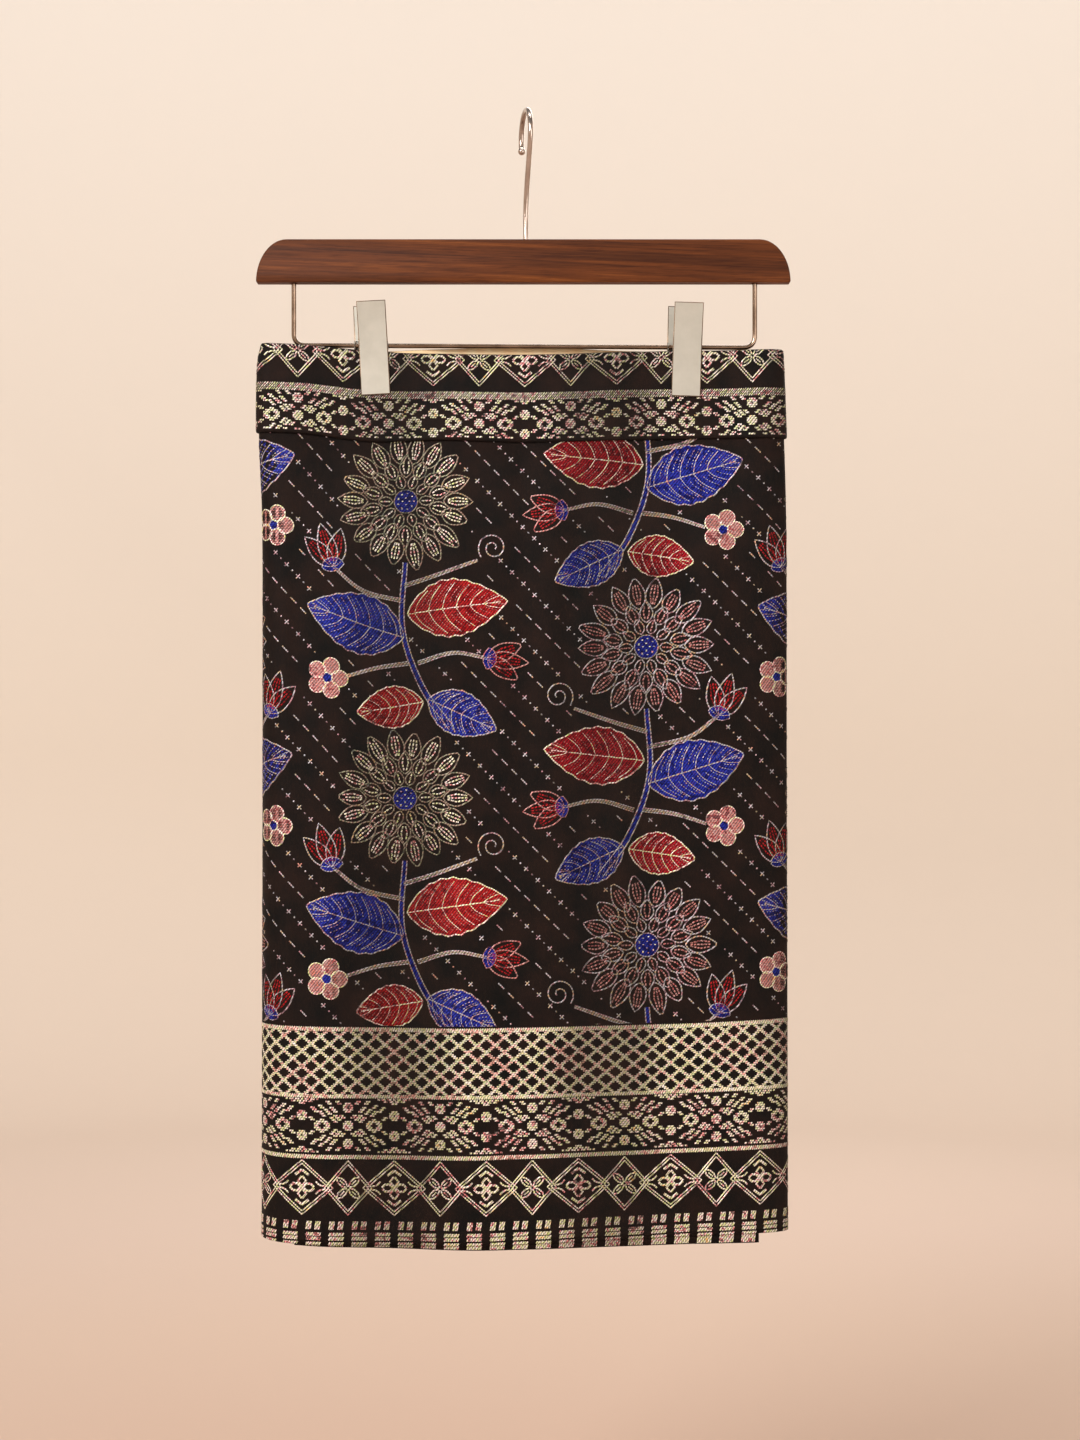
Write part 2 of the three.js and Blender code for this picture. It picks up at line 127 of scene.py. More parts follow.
# the shares of the left side, the middle and the right side, in the frame's columns
STEPS = {"front": (6, 24, 8), "back": (5, 22, 5)}
SIGN = {"front": -1, "back": 1}


def smoothstep(x, low, high):
    t = np.clip((x - low) / (high - low), 0, 1)
    return t * t * (3 - 2 * t)


def through(xs, ys, x):
    """A smooth curve through the points (xs, ys), straight on past both ends."""
    xs, ys = np.asarray(xs, float), np.asarray(ys, float)
    x = np.atleast_1d(np.asarray(x, float))
    last = len(xs) - 1
    low, high = np.maximum(np.arange(last + 1) - 1, 0), np.minimum(np.arange(last + 1) + 1, last)
    slope = (ys[high] - ys[low]) / (xs[high] - xs[low])
    i = np.clip(np.searchsorted(xs, x, side="left") - 1, 0, last - 1)
    span = xs[i + 1] - xs[i]
    t = (x - xs[i]) / span
    t2, t3 = t * t, t ** 3
    inside = ((2 * t3 - 3 * t2 + 1) * ys[i] + (t3 - 2 * t2 + t) * span * slope[i]
              + (3 * t2 - 2 * t3) * ys[i + 1] + (t3 - t2) * span * slope[i + 1])
    before = ys[0] + (x - xs[0]) * slope[0]
    after = ys[last] + (x - xs[last]) * slope[last]
    return np.where(x <= xs[0], before, np.where(x >= xs[last], after, inside))


def section(name, v):
    return float(through(SECTIONS["v"], SECTIONS[name], v)[0])


def pinch(x, v):
    """How firmly the clips press the cloth: 1 at their jaws, 0 well away from them."""
    down = 1 - smoothstep(v, PINCH["full"], PINCH["full"] + PINCH["fade"])
    reach = PINCH["flat"] + PINCH["reach"]
    across = [1 - smoothstep(np.abs(x - at), PINCH["flat"], reach) for at in CLIPS.values()]
    return down * np.max(across, axis=0)


def between(v, start, end, fade):
    """1 between start and end, faded in and out."""
    rise = smoothstep(v, start - fade[0], start + fade[1])
    return rise * (1 - smoothstep(v, end - fade[2], end + fade[3]))


def folds_at(side, x, v):
    total = np.zeros_like(x)
    for at, half, start, end, out in FOLDS[side]:
        total += out * np.exp(-(((x - at) / half) ** 2)) * between(v, start, end, FOLD_FADE)
    for at, half, start, end, out, lean in CREASES[side]:
        middle = at + lean * (v - start) + WAVER * math.sin(v / WAVER_LENGTH + at)
        shape = CREASE_GAIN * out * np.exp(-(((x - middle) / half) ** 2))
        total += shape * between(v, start, end, CREASE_FADE)
    return total


def line_height(side, share, v):
    rows = LINES[side]
    i = int(np.clip(np.searchsorted(LINE_ROWS, v, side="right") - 1, 0, len(LINE_ROWS) - 2))
    t = (v - LINE_ROWS[i]) / (LINE_ROWS[i + 1] - LINE_ROWS[i])
    return through(STATIONS, rows[i] + (rows[i + 1] - rows[i]) * t, np.clip(share, 0, 1))


def panel(side, s, v):
    """The outer face of the tube's front or back at one level; s goes from the left fold to the right."""
    left_steps, middle_steps, right_steps = STEPS[side]
    total = left_steps + middle_steps + right_steps
    left_share, right_share = left_steps / total, right_steps / total
    left, right = section("left", v), section("right", v)
    left_run = section("left_run" if side == "front" else "back_run", v)
    right_run = section("right_run" if side == "front" else "back_run", v)
    left_angle = np.clip(s / left_share, 0, 1) * math.pi / 2
    right_angle = np.clip((1 - s) / right_share, 0, 1) * math.pi / 2
    t = (s - left_share) / (1 - left_share - right_share)
    x = np.where(s < left_share, left + left_run * (1 - np.cos(left_angle)),
                 np.where(s > 1 - right_share, right - right_run * (1 - np.cos(right_angle)),
                          (left + left_run) + t * (right - right_run - left - left_run)))
    fullness = np.sin(left_angle) * np.sin(right_angle)
    held = pinch(x, v)
    free = section(side, v) + folds_at(side, x, v) * np.abs(fullness)
    depth = (free + (CLAMPED - free) * held) * fullness
    z = line_height(side, (x - left) / (right - left), v)
    return np.stack([x, SIGN[side] * (GAP / 2 + depth), z], axis=1)


# ---- the tube as a sheet: u is millimetres round it from the middle of the front, v millimetres down it ----
# u is worked out this far each way, which is past the seam in the middle of the back
ROUND = 440
U_STEP, V_STEP = 1.0, 2.0
U_GRID = np.arange(-ROUND, ROUND + U_STEP, U_STEP)
V_GRID = np.arange(-4, 712 + V_STEP, V_STEP)
# samples on half of the back and on the front, and the lap's edges as shares of the front
BACK_SAMPLES, FRONT_SAMPLES = 500, 1100
LAP_EDGES = [6 / 38, 35 / 38]


def run_along(points):
    """The distance along a line, at each of its points."""
    return np.concatenate([[0], np.cumsum(np.linalg.norm(np.diff(points, axis=0), axis=1))])


def ring(v):
    """One level of the tube: from the middle of the back by the left fold, the front and the right fold."""
    half = np.linspace(0, 0.5, BACK_SAMPLES)
    s_front = np.linspace(0, 1, FRONT_SAMPLES)
    points = np.concatenate([
        panel("back", half[::-1], v), panel("front", s_front, v), panel("back", 1 - half, v),
    ])
    length = run_along(points)
    front = slice(BACK_SAMPLES, BACK_SAMPLES + FRONT_SAMPLES)
    u = length - np.interp(0, points[front, 0], length[front])
    return points, u, np.interp(LAP_EDGES, s_front, u[front]), (u[front][0], u[front][-1])


POINTS = np.zeros((len(V_GRID), len(U_GRID), 3))
ENDS, LAP, FOLD_U = (np.zeros((len(V_GRID), 2)) for _ in range(3))
for j, level in enumerate(V_GRID):
    points, u, lap, folds = ring(float(level))
    ENDS[j], LAP[j], FOLD_U[j] = (u[0], u[-1]), lap, folds
    wrapped = u[0] + np.mod(U_GRID - u[0], u[-1] - u[0])
    for axis in range(3):
        POINTS[j, :, axis] = np.interp(wrapped, u, points[:, axis])
NORMALS = np.cross(np.gradient(POINTS, V_STEP, axis=0), np.gradient(POINTS, U_STEP, axis=1))
NORMALS /= np.linalg.norm(NORMALS, axis=2, keepdims=True)


def grid_value(grid, v):
    return np.stack([np.interp(v, V_GRID, grid[:, k]) for k in range(grid.shape[1])], axis=-1)


def surface(u, v, lift):
    """Points lift millimetres out from the tube's outer face."""
    u, v, lift = np.broadcast_arrays(np.asarray(u, float), np.asarray(v, float), np.asarray(lift, float))
    a = np.clip((u - U_GRID[0]) / U_STEP, 0, len(U_GRID) - 1.001)
    b = np.clip((v - V_GRID[0]) / V_STEP, 0, len(V_GRID) - 1.001)
    i, j = a.astype(int), b.astype(int)
    s, t = (a - i)[..., None], (b - j)[..., None]

    def blend(grid):
        top = grid[j, i] * (1 - s) + grid[j, i + 1] * s
        low = grid[j + 1, i] * (1 - s) + grid[j + 1, i + 1] * s
        return top * (1 - t) + low * t

    normal = blend(NORMALS)
    normal /= np.maximum(np.linalg.norm(normal, axis=-1, keepdims=True), 1e-9)
    return blend(POINTS) + normal * lift[..., None]


# ---- meshes ----
# one unit of the "Cloth" map is 100 mm
CLOTH_MAP = 0.01
# the share of the bake map that a wall's outer face takes, and where its inner face starts
OUTER_SHARE, INNER_START = 0.495, 0.505


def make_object(name, verts_mm, faces, material, uv=None, cloth=None, joined_to=None):
    """An object from arrays, its maps given per vertex or per corner.

    joined_to turns each vertex number into its twin's across a seam, after the maps are taken per corner.
    """
    mesh = bpy.data.meshes.new(name)
    faces = np.asarray(faces, dtype=np.int64)
    if joined_to is not None:
        uv, cloth = uv[faces.ravel()], cloth[faces.ravel()]
        faces = joined_to(faces)
    count, size = faces.shape
    mesh.vertices.add(len(verts_mm))
    mesh.vertices.foreach_set("co", (np.asarray(verts_mm, float) * MM).astype(np.float32).ravel())
    mesh.loops.add(count * size)
    mesh.loops.foreach_set("vertex_index", faces.astype(np.int32).ravel())
    mesh.polygons.add(count)
    mesh.polygons.foreach_set("loop_start", np.arange(0, count * size, size, dtype=np.int32))
    mesh.update(calc_edges=True)
    for layer_name, coords in (("OFBake", uv), ("Cloth", cloth)):
        if coords is not None:
            layer = mesh.uv_layers.new(name=layer_name)
            per_corner = coords if len(coords) == count * size else coords[faces.ravel()]
            layer.data.foreach_set("uv", per_corner.astype(np.float32).ravel())
    mesh.polygons.foreach_set("use_smooth", np.ones(count, dtype=bool))
    mesh.materials.append(material)
    obj = bpy.data.objects.new(name, mesh)
    bpy.context.collection.objects.link(obj)
    return obj


def shell(name, u_of, v_of, columns, rows, lifts, material, closed=False, on=surface):
    """A cloth wall between two lifts: u_of(s, t) and v_of(s, t) over s, t in 0 to 1, the outer face first."""
    s, t = np.meshgrid(np.linspace(0, 1, columns + 1), np.linspace(0, 1, rows + 1))
    u, v = u_of(s, t), v_of(s, t)
    verts = np.concatenate([on(u, v, lift).reshape(-1, 3) for lift in lifts])
    uv = [np.column_stack([s.ravel(), t.ravel() * OUTER_SHARE + start]) for start in (0, INNER_START)]
    cloth = np.tile(np.column_stack([u.ravel(), v.ravel()]) * CLOTH_MAP, (2, 1))
    width = columns + 1
    face = width * (rows + 1)
    grid = (np.arange(rows)[:, None] * width + np.arange(columns)[None, :]).ravel()
    top, a = np.arange(columns), np.arange(rows) * width
    low, b = rows * width + top, a + columns
    quads = [
        (grid, grid + width, grid + width + 1, grid + 1),
        (face + grid, face + grid + 1, face + grid + width + 1, face + grid + width),
        (top, top + 1, face + top + 1, face + top),
        (low, face + low, face + low + 1, low + 1),
    ]
    if not closed:
        quads += [(a, face + a, face + a + width, a + width), (b, b + width, face + b + width, face + b)]
    join = (lambda k: np.where(k % width == columns, k - columns, k)) if closed else None
    faces = np.concatenate([np.stack(corners, axis=1) for corners in quads])
    return make_object(name, verts, faces, material, np.concatenate(uv), cloth, join)


# ---- materials ----
def srgb(r, g, b):
    def linear(c):
        c /= 255
        return c / 12.92 if c <= 0.04045 else ((c + 0.055) / 1.055) ** 2.4
    return (linear(r), linear(g), linear(b), 1)


# a Wave node of scale 1 on the "Cloth" map has its bands this far apart, in mm
WAVE_MM = 31.4
# the Mix node's colour result is told by number, because the names of its outputs repeat
MIXED = 2


class Nodes:
    """A material of a Principled shader, with short ways to add what feeds it."""

    def __init__(self, name):
        self.material = bpy.data.materials.new(name)
        self.material.use_nodes = True
        self.tree = self.material.node_tree
        self.tree.nodes.clear()
        output = self.add("ShaderNodeOutputMaterial")
        self.shader = self.add("ShaderNodeBsdfPrincipled")
        self.link(self.shader, "BSDF", output, "Surface")

    def add(self, kind, **values):
        """A node; values go to its inputs of those names, with _ for a space, or else to its properties."""
        node = self.tree.nodes.new(kind)
        for key, value in values.items():
            if key.replace("_", " ") in node.inputs:
                node.inputs[key.replace("_", " ")].default_value = value
            else:
                setattr(node, key, value)
        return node

    def link(self, a, out, b, into):
        self.tree.links.new(a.outputs[out], b.inputs[into])

    def set(self, **values):
        for key, value in values.items():
            self.shader.inputs[key.replace("_", " ")].default_value = value

    def scaled(self, source, scale, rotation=(0, 0, 0), out="Vector"):
        mapping = self.add("ShaderNodeMapping", Scale=scale, Rotation=rotation)
        self.link(source, out, mapping, "Vector")
        return mapping

    def cloth(self, degrees=0):
        """The cloth's own map, turned."""
        cloth_map = self.add("ShaderNodeUVMap", uv_map="Cloth")
        return self.scaled(cloth_map, (1, 1, 1), (0, 0, math.radians(degrees)), "UV")

    def solid(self, scale=(1, 1, 1), rotation=(0, 0, 0)):
        """The object's own space."""
        return self.scaled(self.add("ShaderNodeTexCoord"), scale, rotation, "Object")

    def noise(self, coords, scale, detail=2, roughness=0.5):
        node = self.add("ShaderNodeTexNoise", Scale=scale, Detail=detail, Roughness=roughness)
        self.link(coords, "Vector", node, "Vector")
        return node

    def wave(self, coords, mm, direction="X", **values):
        """Soft bands mm apart along the cloth's map."""
        node = self.add("ShaderNodeTexWave", bands_direction=direction, Scale=WAVE_MM / mm, **values)
        self.link(coords, "Vector", node, "Vector")
        return node

    def ramp(self, source, out, stops):
        node = self.add("ShaderNodeValToRGB")
        for k, (at, colour) in enumerate(stops):
            element = node.color_ramp.elements[k] if k < 2 else node.color_ramp.elements.new(at)
            element.position = at
            element.color = colour
        self.link(source, out, node, "Fac")
        return node

    def mix(self, kind, share, a, b):
        """kind is a blend type; a and b are (node, output)."""
        node = self.add("ShaderNodeMix", data_type="RGBA", blend_type=kind)
        node.inputs[0].default_value = share
        for (source, out), slot in ((a, 6), (b, 7)):
            self.link(source, out, node, slot)
        return node

    def colour(self, source, out):
        self.link(source, out, self.shader, "Base Color")

    def roughness(self, source, out, low, high):
        node = self.add("ShaderNodeMapRange", To_Min=low, To_Max=high)
        self.link(source, out, node, "Value")
        self.link(node, "Result", self.shader, "Roughness")

    def bump(self, height, out, strength, distance):
        node = self.add("ShaderNodeBump", Strength=strength, Distance=distance)
        self.link(height, out, node, "Height")
        self.link(node, "Normal", self.shader, "Normal")


def ground_material(name, base, light):
    n = Nodes(name)
    cloth = n.cloth()
    height = n.mix("MIX", 0.35, (n.wave(n.cloth(52), 0.95), "Color"), (n.wave(cloth, 0.7, "Y"), "Color"))
    colour = n.ramp(n.noise(cloth, 3.5, 3), "Fac", [(0.3, srgb(*base)), (0.7, srgb(*light))])
    n.colour(n.mix("MULTIPLY", 0.45, (colour, "Color"), (height, MIXED)), MIXED)
    n.roughness(n.noise(cloth, 60), "Fac", 0.6, 0.82)
    n.bump(height, MIXED, 0.4, 0.0003)
    n.set(Sheen_Weight=0.01, Sheen_Roughness=0.4, Specular_IOR_Level=0.12)
    return n.material


# painted glint: the threads' colour is lit brighter in soft patches this far apart round the cloth, in mm,
# one of them at GLINT_U
GLINT_PERIOD, GLINT_U = 165, -20


def thread_material(name, stops, metallic, rough, twill_mm=1.9, dark=0.3, painted_dim=0.5, gloss=0.5):
    """Metallic or silky weft threads: colour drifts in patches, painted sheen lightens them in soft bands
    round the cloth, and each thread catches the light by turns.
    """
    n = Nodes(name)
    cloth = n.cloth()
    speck = n.noise(cloth, 26, 2, 0.7)
    mixed = n.add("ShaderNodeMix", data_type="FLOAT")
    mixed.inputs[0].default_value = 0.62
    n.link(n.noise(cloth, 3.2, 3, 0.6), "Fac", mixed, 2)
    n.link(speck, "Fac", mixed, 3)
    colour = n.ramp(mixed, "Result", [(0.5 + (at - 0.5) * 0.7, srgb(*tone)) for at, tone in stops])
    twill = n.wave(n.cloth(-38), twill_mm)
    shade = n.ramp(twill, "Fac", [(0.12, (dark, dark, dark, 1)), (0.55, (1, 1, 1, 1))])
    woven = n.mix("MULTIPLY", 1.0, (colour, "Color"), (shade, "Color"))
    # painted sheen: a wave round the cloth and a broad noise lighten the threads' colour in soft bands, as
    # folds would catch the light, and dim it between them
    glint = n.wave(cloth, GLINT_PERIOD, Phase_Offset=math.pi - 2 * math.pi * GLINT_U / GLINT_PERIOD)
    painted_sheen_patches = n.mix("MIX", 0.6, (n.noise(cloth, 0.95), "Fac"), (glint, "Fac"))
    sheen = n.ramp(painted_sheen_patches, MIXED, [(0.3, (painted_dim, painted_dim * 0.98, painted_dim * 0.92, 1)), (0.62, (1, 1, 1, 1))])
    n.colour(n.mix("MULTIPLY", 1.0, (woven, MIXED), (sheen, "Color")), MIXED)
    n.roughness(speck, "Fac", rough - 0.1, rough + 0.14)
    n.bump(twill, "Fac", 0.4, 0.0003)
    n.set(Metallic=metallic, Specular_IOR_Level=gloss)
    return n.material


GROUND = ground_material("brocade_ground", (10, 9, 8), (34, 20, 15))
LUREX = dict(metallic=0.45, rough=0.38)
SILK = dict(metallic=0.15, rough=0.36, gloss=0.12)
SILVER, PINK, GOLD, LIME = (255, 252, 250), (246, 132, 134), (255, 208, 130), (204, 220, 112)
LIGHT_STOPS = [
    (0.34, (120, 104, 100)), (0.41, PINK), (0.46, SILVER), (0.52, (250, 232, 210)), (0.57, LIME),
    (0.62, SILVER), (0.68, GOLD),
]
# the waist's threads are this much darker
WAIST_TONE = 0.88
WAIST_STOPS = [(at, tuple(WAIST_TONE * c for c in tone)) for at, tone in LIGHT_STOPS]
LIGHT = thread_material("lurex_light", LIGHT_STOPS, 0.3, 0.34)
WAIST = thread_material("lurex_waist", WAIST_STOPS, **LUREX, dark=0.2, painted_dim=0.45)
# six tones lie at these places along the noise
SIX = (0.34, 0.42, 0.48, 0.54, 0.6, 0.68)
MIST = thread_material("lurex_mist", zip(SIX, [
    (96, 88, 98), (190, 128, 138), (206, 200, 208), (150, 154, 166), (190, 172, 128), (216, 148, 136),
]), **LUREX)
GREEN = thread_material("lurex_green", zip(SIX, [
    (80, 78, 70), (138, 138, 104), (176, 168, 150), (152, 100, 92), (128, 132, 112), (188, 152, 108),
]), **LUREX)
ROSE = thread_material("lurex_rose", zip(SIX, [
    (110, 56, 62), (188, 84, 84), (200, 170, 168), (206, 110, 100), (140, 120, 122), (206, 120, 104),
]), **LUREX)
LATTICE = thread_material("lurex_lattice", [
    (0.34, (160, 140, 120)), (0.41, (250, 166, 156)), (0.47, (255, 248, 240)), (0.53, (186, 204, 140)),
    (0.59, (255, 230, 184)), (0.66, (255, 250, 246)),
], 0.1, 0.34, dark=0.5, painted_dim=0.42)
RED = thread_material("silk_red", [
    (0.34, (84, 6, 16)), (0.46, (140, 12, 26)), (0.56, (178, 24, 38)), (0.66, (120, 20, 34)),
], **SILK)
CORAL = thread_material("silk_coral", [
    (0.34, (100, 6, 12)), (0.48, (152, 12, 20)), (0.58, (190, 34, 38)), (0.68, (132, 12, 20)),
], **SILK)
BLUE = thread_material("silk_blue", [
    (0.34, (10, 12, 78)), (0.46, (18, 26, 122)), (0.56, (36, 52, 172)), (0.66, (56, 42, 138)),
], **SILK)


def facing_material():
    n = Nodes("facing_cloth")
    cloth = n.cloth()
    height = n.mix("MIX", 0.5, (n.wave(cloth, 0.8), "Color"), (n.wave(cloth, 0.8, "Y"), "Color"))
    colour = n.ramp(n.noise(cloth, 8, 3), "Fac", [(0.3, srgb(252, 206, 152)), (0.7, srgb(255, 234, 192))])
    n.colour(n.mix("MULTIPLY", 0.2, (colour, "Color"), (height, MIXED)), MIXED)
    n.bump(height, MIXED, 0.3, 0.0003)
    n.set(Roughness=0.85, Sheen_Weight=0.1)
    return n.material


def wood_material():
    """Long grain along the bar, tilted a little, with short dark pores."""
    n = Nodes("hanger_wood")
    tilted = n.solid(rotation=(0, math.radians(-2.5), 0))
    grain = n.noise(n.scaled(tilted, (2.2, 30, 120)), 3.2, 7, 0.68)
    broad = n.noise(n.scaled(tilted, (1.3, 9, 34)), 2.4, 3, 0.55)
    pores = n.noise(n.solid((14, 220, 300)), 3.0, 3, 0.7)
    grey = n.add("ShaderNodeRGBToBW")
    n.link(n.mix("MIX", 0.5, (grain, "Color"), (broad, "Color")), MIXED, grey, "Color")
    colour = n.ramp(grey, "Val", [
        (0.34, srgb(36, 16, 6)), (0.46, srgb(68, 33, 12)),
        (0.54, srgb(92, 47, 18)), (0.66, srgb(128, 72, 31)),
    ])
    pore_shade = n.ramp(pores, "Fac", [(0.36, (0.55, 0.5, 0.48, 1)), (0.5, (1, 1, 1, 1))])
    n.colour(n.mix("MULTIPLY", 0.7, (colour, "Color"), (pore_shade, "Color")), MIXED)
    n.roughness(grain, "Fac", 0.46, 0.62)
    n.bump(pores, "Fac", 0.15, 0.0002)
    n.set(Specular_IOR_Level=0.14)
    return n.material


def metal_material(name, dark, bright, rough, metallic=1.0):
    n = Nodes(name)
    cloud = n.noise(n.solid(), 55, 3, 0.6)
    scratch = n.noise(n.solid((500, 500, 40)), 1.0, 2, 0.6)
    n.colour(n.ramp(cloud, "Fac", [(0.3, srgb(*dark)), (0.7, srgb(*bright))]), "Color")
    n.roughness(scratch, "Fac", rough - 0.05, rough + 0.08)
    n.bump(scratch, "Fac", 0.05, 0.0001)
    n.set(Metallic=metallic)
    return n.material


FACING = facing_material()
WOODEN = wood_material()
CHROME = metal_material("hook_steel", (158, 142, 132), (200, 184, 174), 0.18)
# the clip bar's steel is darker and browner than the hook's: painted reflection of the dark wood and cloth
# around it
BAR_STEEL = metal_material("bar_steel", (118, 98, 82), (168, 146, 128), 0.16)
PLATE = metal_material("clip_plate_satin", (177, 174, 164), (188, 185, 175), 0.52, 0.6)
# painted shade and dark reflection for the plates' rounded edges and the rims just inside them
PLATE_EDGE_SHADE = metal_material("clip_plate_edge_shade", (66, 50, 38), (128, 106, 86), 0.35, 0.9)


# ---- the cloth shells: how far their faces stand out from the tube's own outer face ----
TUBE_LIFTS, LAP_LIFTS, FACING_LIFTS = (0, -0.9), (-1.55, -2.45), (-1.55, -2.4)
# the tuck's profile as (v, lift): over the top and down the outside, round the lower edge, up the inside
TUCK_LIFT = 2.3
TUCK_PROFILE = np.array([
    (-0.2, 0.4), (-0.7, 0.9), (-0.8, 1.5), (-0.3, 2.1),
    *((v, TUCK_LIFT) for v in np.linspace(1.2, 65.5, 20)),
    (67, 2.25), (68, 1.9), (68.4, 1.3), (68, 0.75), (67, 0.42),
    *((v, 0.4) for v in np.linspace(60, 6, 6)),
])
TUCK_COLUMNS = 236
# the tuck's lower edge rolls up and down below this v, in mm, by two waves of these lengths over 2 pi
PUFF_START, PUFF, PUFF_WAVES = 60, 0.35, (23, 61)
# on the cloth's map the tuck lies this far down, and the bake map leaves this many mm for its last row
TUCK_MAP_DROP, TUCK_CLOSING_RUN = 700, 7
# how far the facing's sides stay from the folds
FACING_MARGIN = 6


def ends(v):
    return grid_value(ENDS, v)


def tube_u(s, t):
    span = ends(t * LENGTH)
    return span[..., 0] + s * (span[..., 1] - span[..., 0])


def waist_tuck():
    """The waist band: a flat pressed loop of cloth all round, closed over the top and at the lower edge."""
    rows = len(TUCK_PROFILE)
    s = np.linspace(0, 1, TUCK_COLUMNS + 1)
    verts, uv, cloth = [], [], []
    run = run_along(TUCK_PROFILE)
    run /= run[-1] + TUCK_CLOSING_RUN
    for (v, lift), along in zip(TUCK_PROFILE, run):
        span = ends(v)
        u = span[0] + s * (span[1] - span[0])
        verts.append(surface(u, v, lift))
        if v > PUFF_START and lift > 1:
            puff = PUFF * np.sin(u / PUFF_WAVES[0] + 1.3) * np.sin(u / PUFF_WAVES[1])
            verts[-1][:, 2] += puff * smoothstep(v, PUFF_START, BAND_HEIGHT)
        uv.append(np.column_stack([s, np.full_like(s, along)]))
        cloth.append(np.column_stack([u, np.full_like(u, v + TUCK_MAP_DROP)]) * CLOTH_MAP)
    width = TUCK_COLUMNS + 1
    row, column = np.arange(rows)[:, None], np.arange(TUCK_COLUMNS)[None, :]
    here, below = (row * width + column).ravel(), ((row + 1) % rows * width + column).ravel()
    faces = np.stack([here, below, below + 1, here + 1], axis=1)
    corners = faces.ravel()
    corner_uv, corner_cloth = np.concatenate(uv)[corners], np.concatenate(cloth)[corners]
    last_row = np.repeat(np.arange(len(faces)) >= (rows - 1) * TUCK_COLUMNS, 4)
    corner_uv[last_row & (corner_uv[:, 1] < 1e-9), 1] = 1.0
    joined = np.where(faces % width == TUCK_COLUMNS, faces - TUCK_COLUMNS, faces)
    return make_object("waist_tuck", np.concatenate(verts), joined, GROUND, corner_uv, corner_cloth)


def lap_u(s, t):
    edge = grid_value(LAP, t * LENGTH)
    return edge[..., 0] + s * (edge[..., 1] - edge[..., 0])


def lap_v(s, t):
    return t * (LENGTH + DROP_LEFT + (DROP_RIGHT - DROP_LEFT) * s)


def facing_u(s, t):
    """Round the inside of the back, a little short of the folds, from the right fold to the left."""
    span, folds = ends(t * FACING_HEIGHT), grid_value(FOLD_U, t * FACING_HEIGHT)
    right = folds[..., 1] + FACING_MARGIN
    left = folds[..., 0] - FACING_MARGIN + (span[..., 1] - span[..., 0])
    return right + s * (left - right)


def wrapped_surface(u, v, lift):
    """As surface, with u going on past the seam."""
    span = ends(v)
    return surface(np.where(u > span[..., 1], u - (span[..., 1] - span[..., 0]), u), v, lift)


tube = shell("samping_tube", tube_u, lambda s, t: t * LENGTH, 232, 140, TUBE_LIFTS, GROUND, closed=True)
tuck = waist_tuck()
lap = shell("inner_lap", lap_u, lap_v, 100, 110, LAP_LIFTS, GROUND)
facing = shell("waist_facing_cloth", facing_u, lambda s, t: t * FACING_HEIGHT, 110, 12, FACING_LIFTS, FACING,
               on=wrapped_surface)


# ---- raised threads ----
# how far threads stay from the back's seam, in mm, and the smallest triangle kept at a cut, in mm2
SEAM_MARGIN, SMALLEST_TRIANGLE = 0.4, 1e-4
# the feet of the threads are this far out from the cloth, and a shorter ribbon than this isn't drawn, in mm
FOOT, SHORTEST = 0.02, 0.3


def sideways(line):
    """Unit steps across a line, at each of its points."""
    tangent = np.gradient(line, axis=0)
    tangent /= np.maximum(np.linalg.norm(tangent, axis=1, keepdims=True), 1e-9)
    return np.column_stack([-tangent[:, 1], tangent[:, 0]])


def points_at(line, along, at):
    """The points of a line at some distances along it."""
    return np.column_stack([np.interp(at, along, line[:, axis]) for axis in (0, 1)])


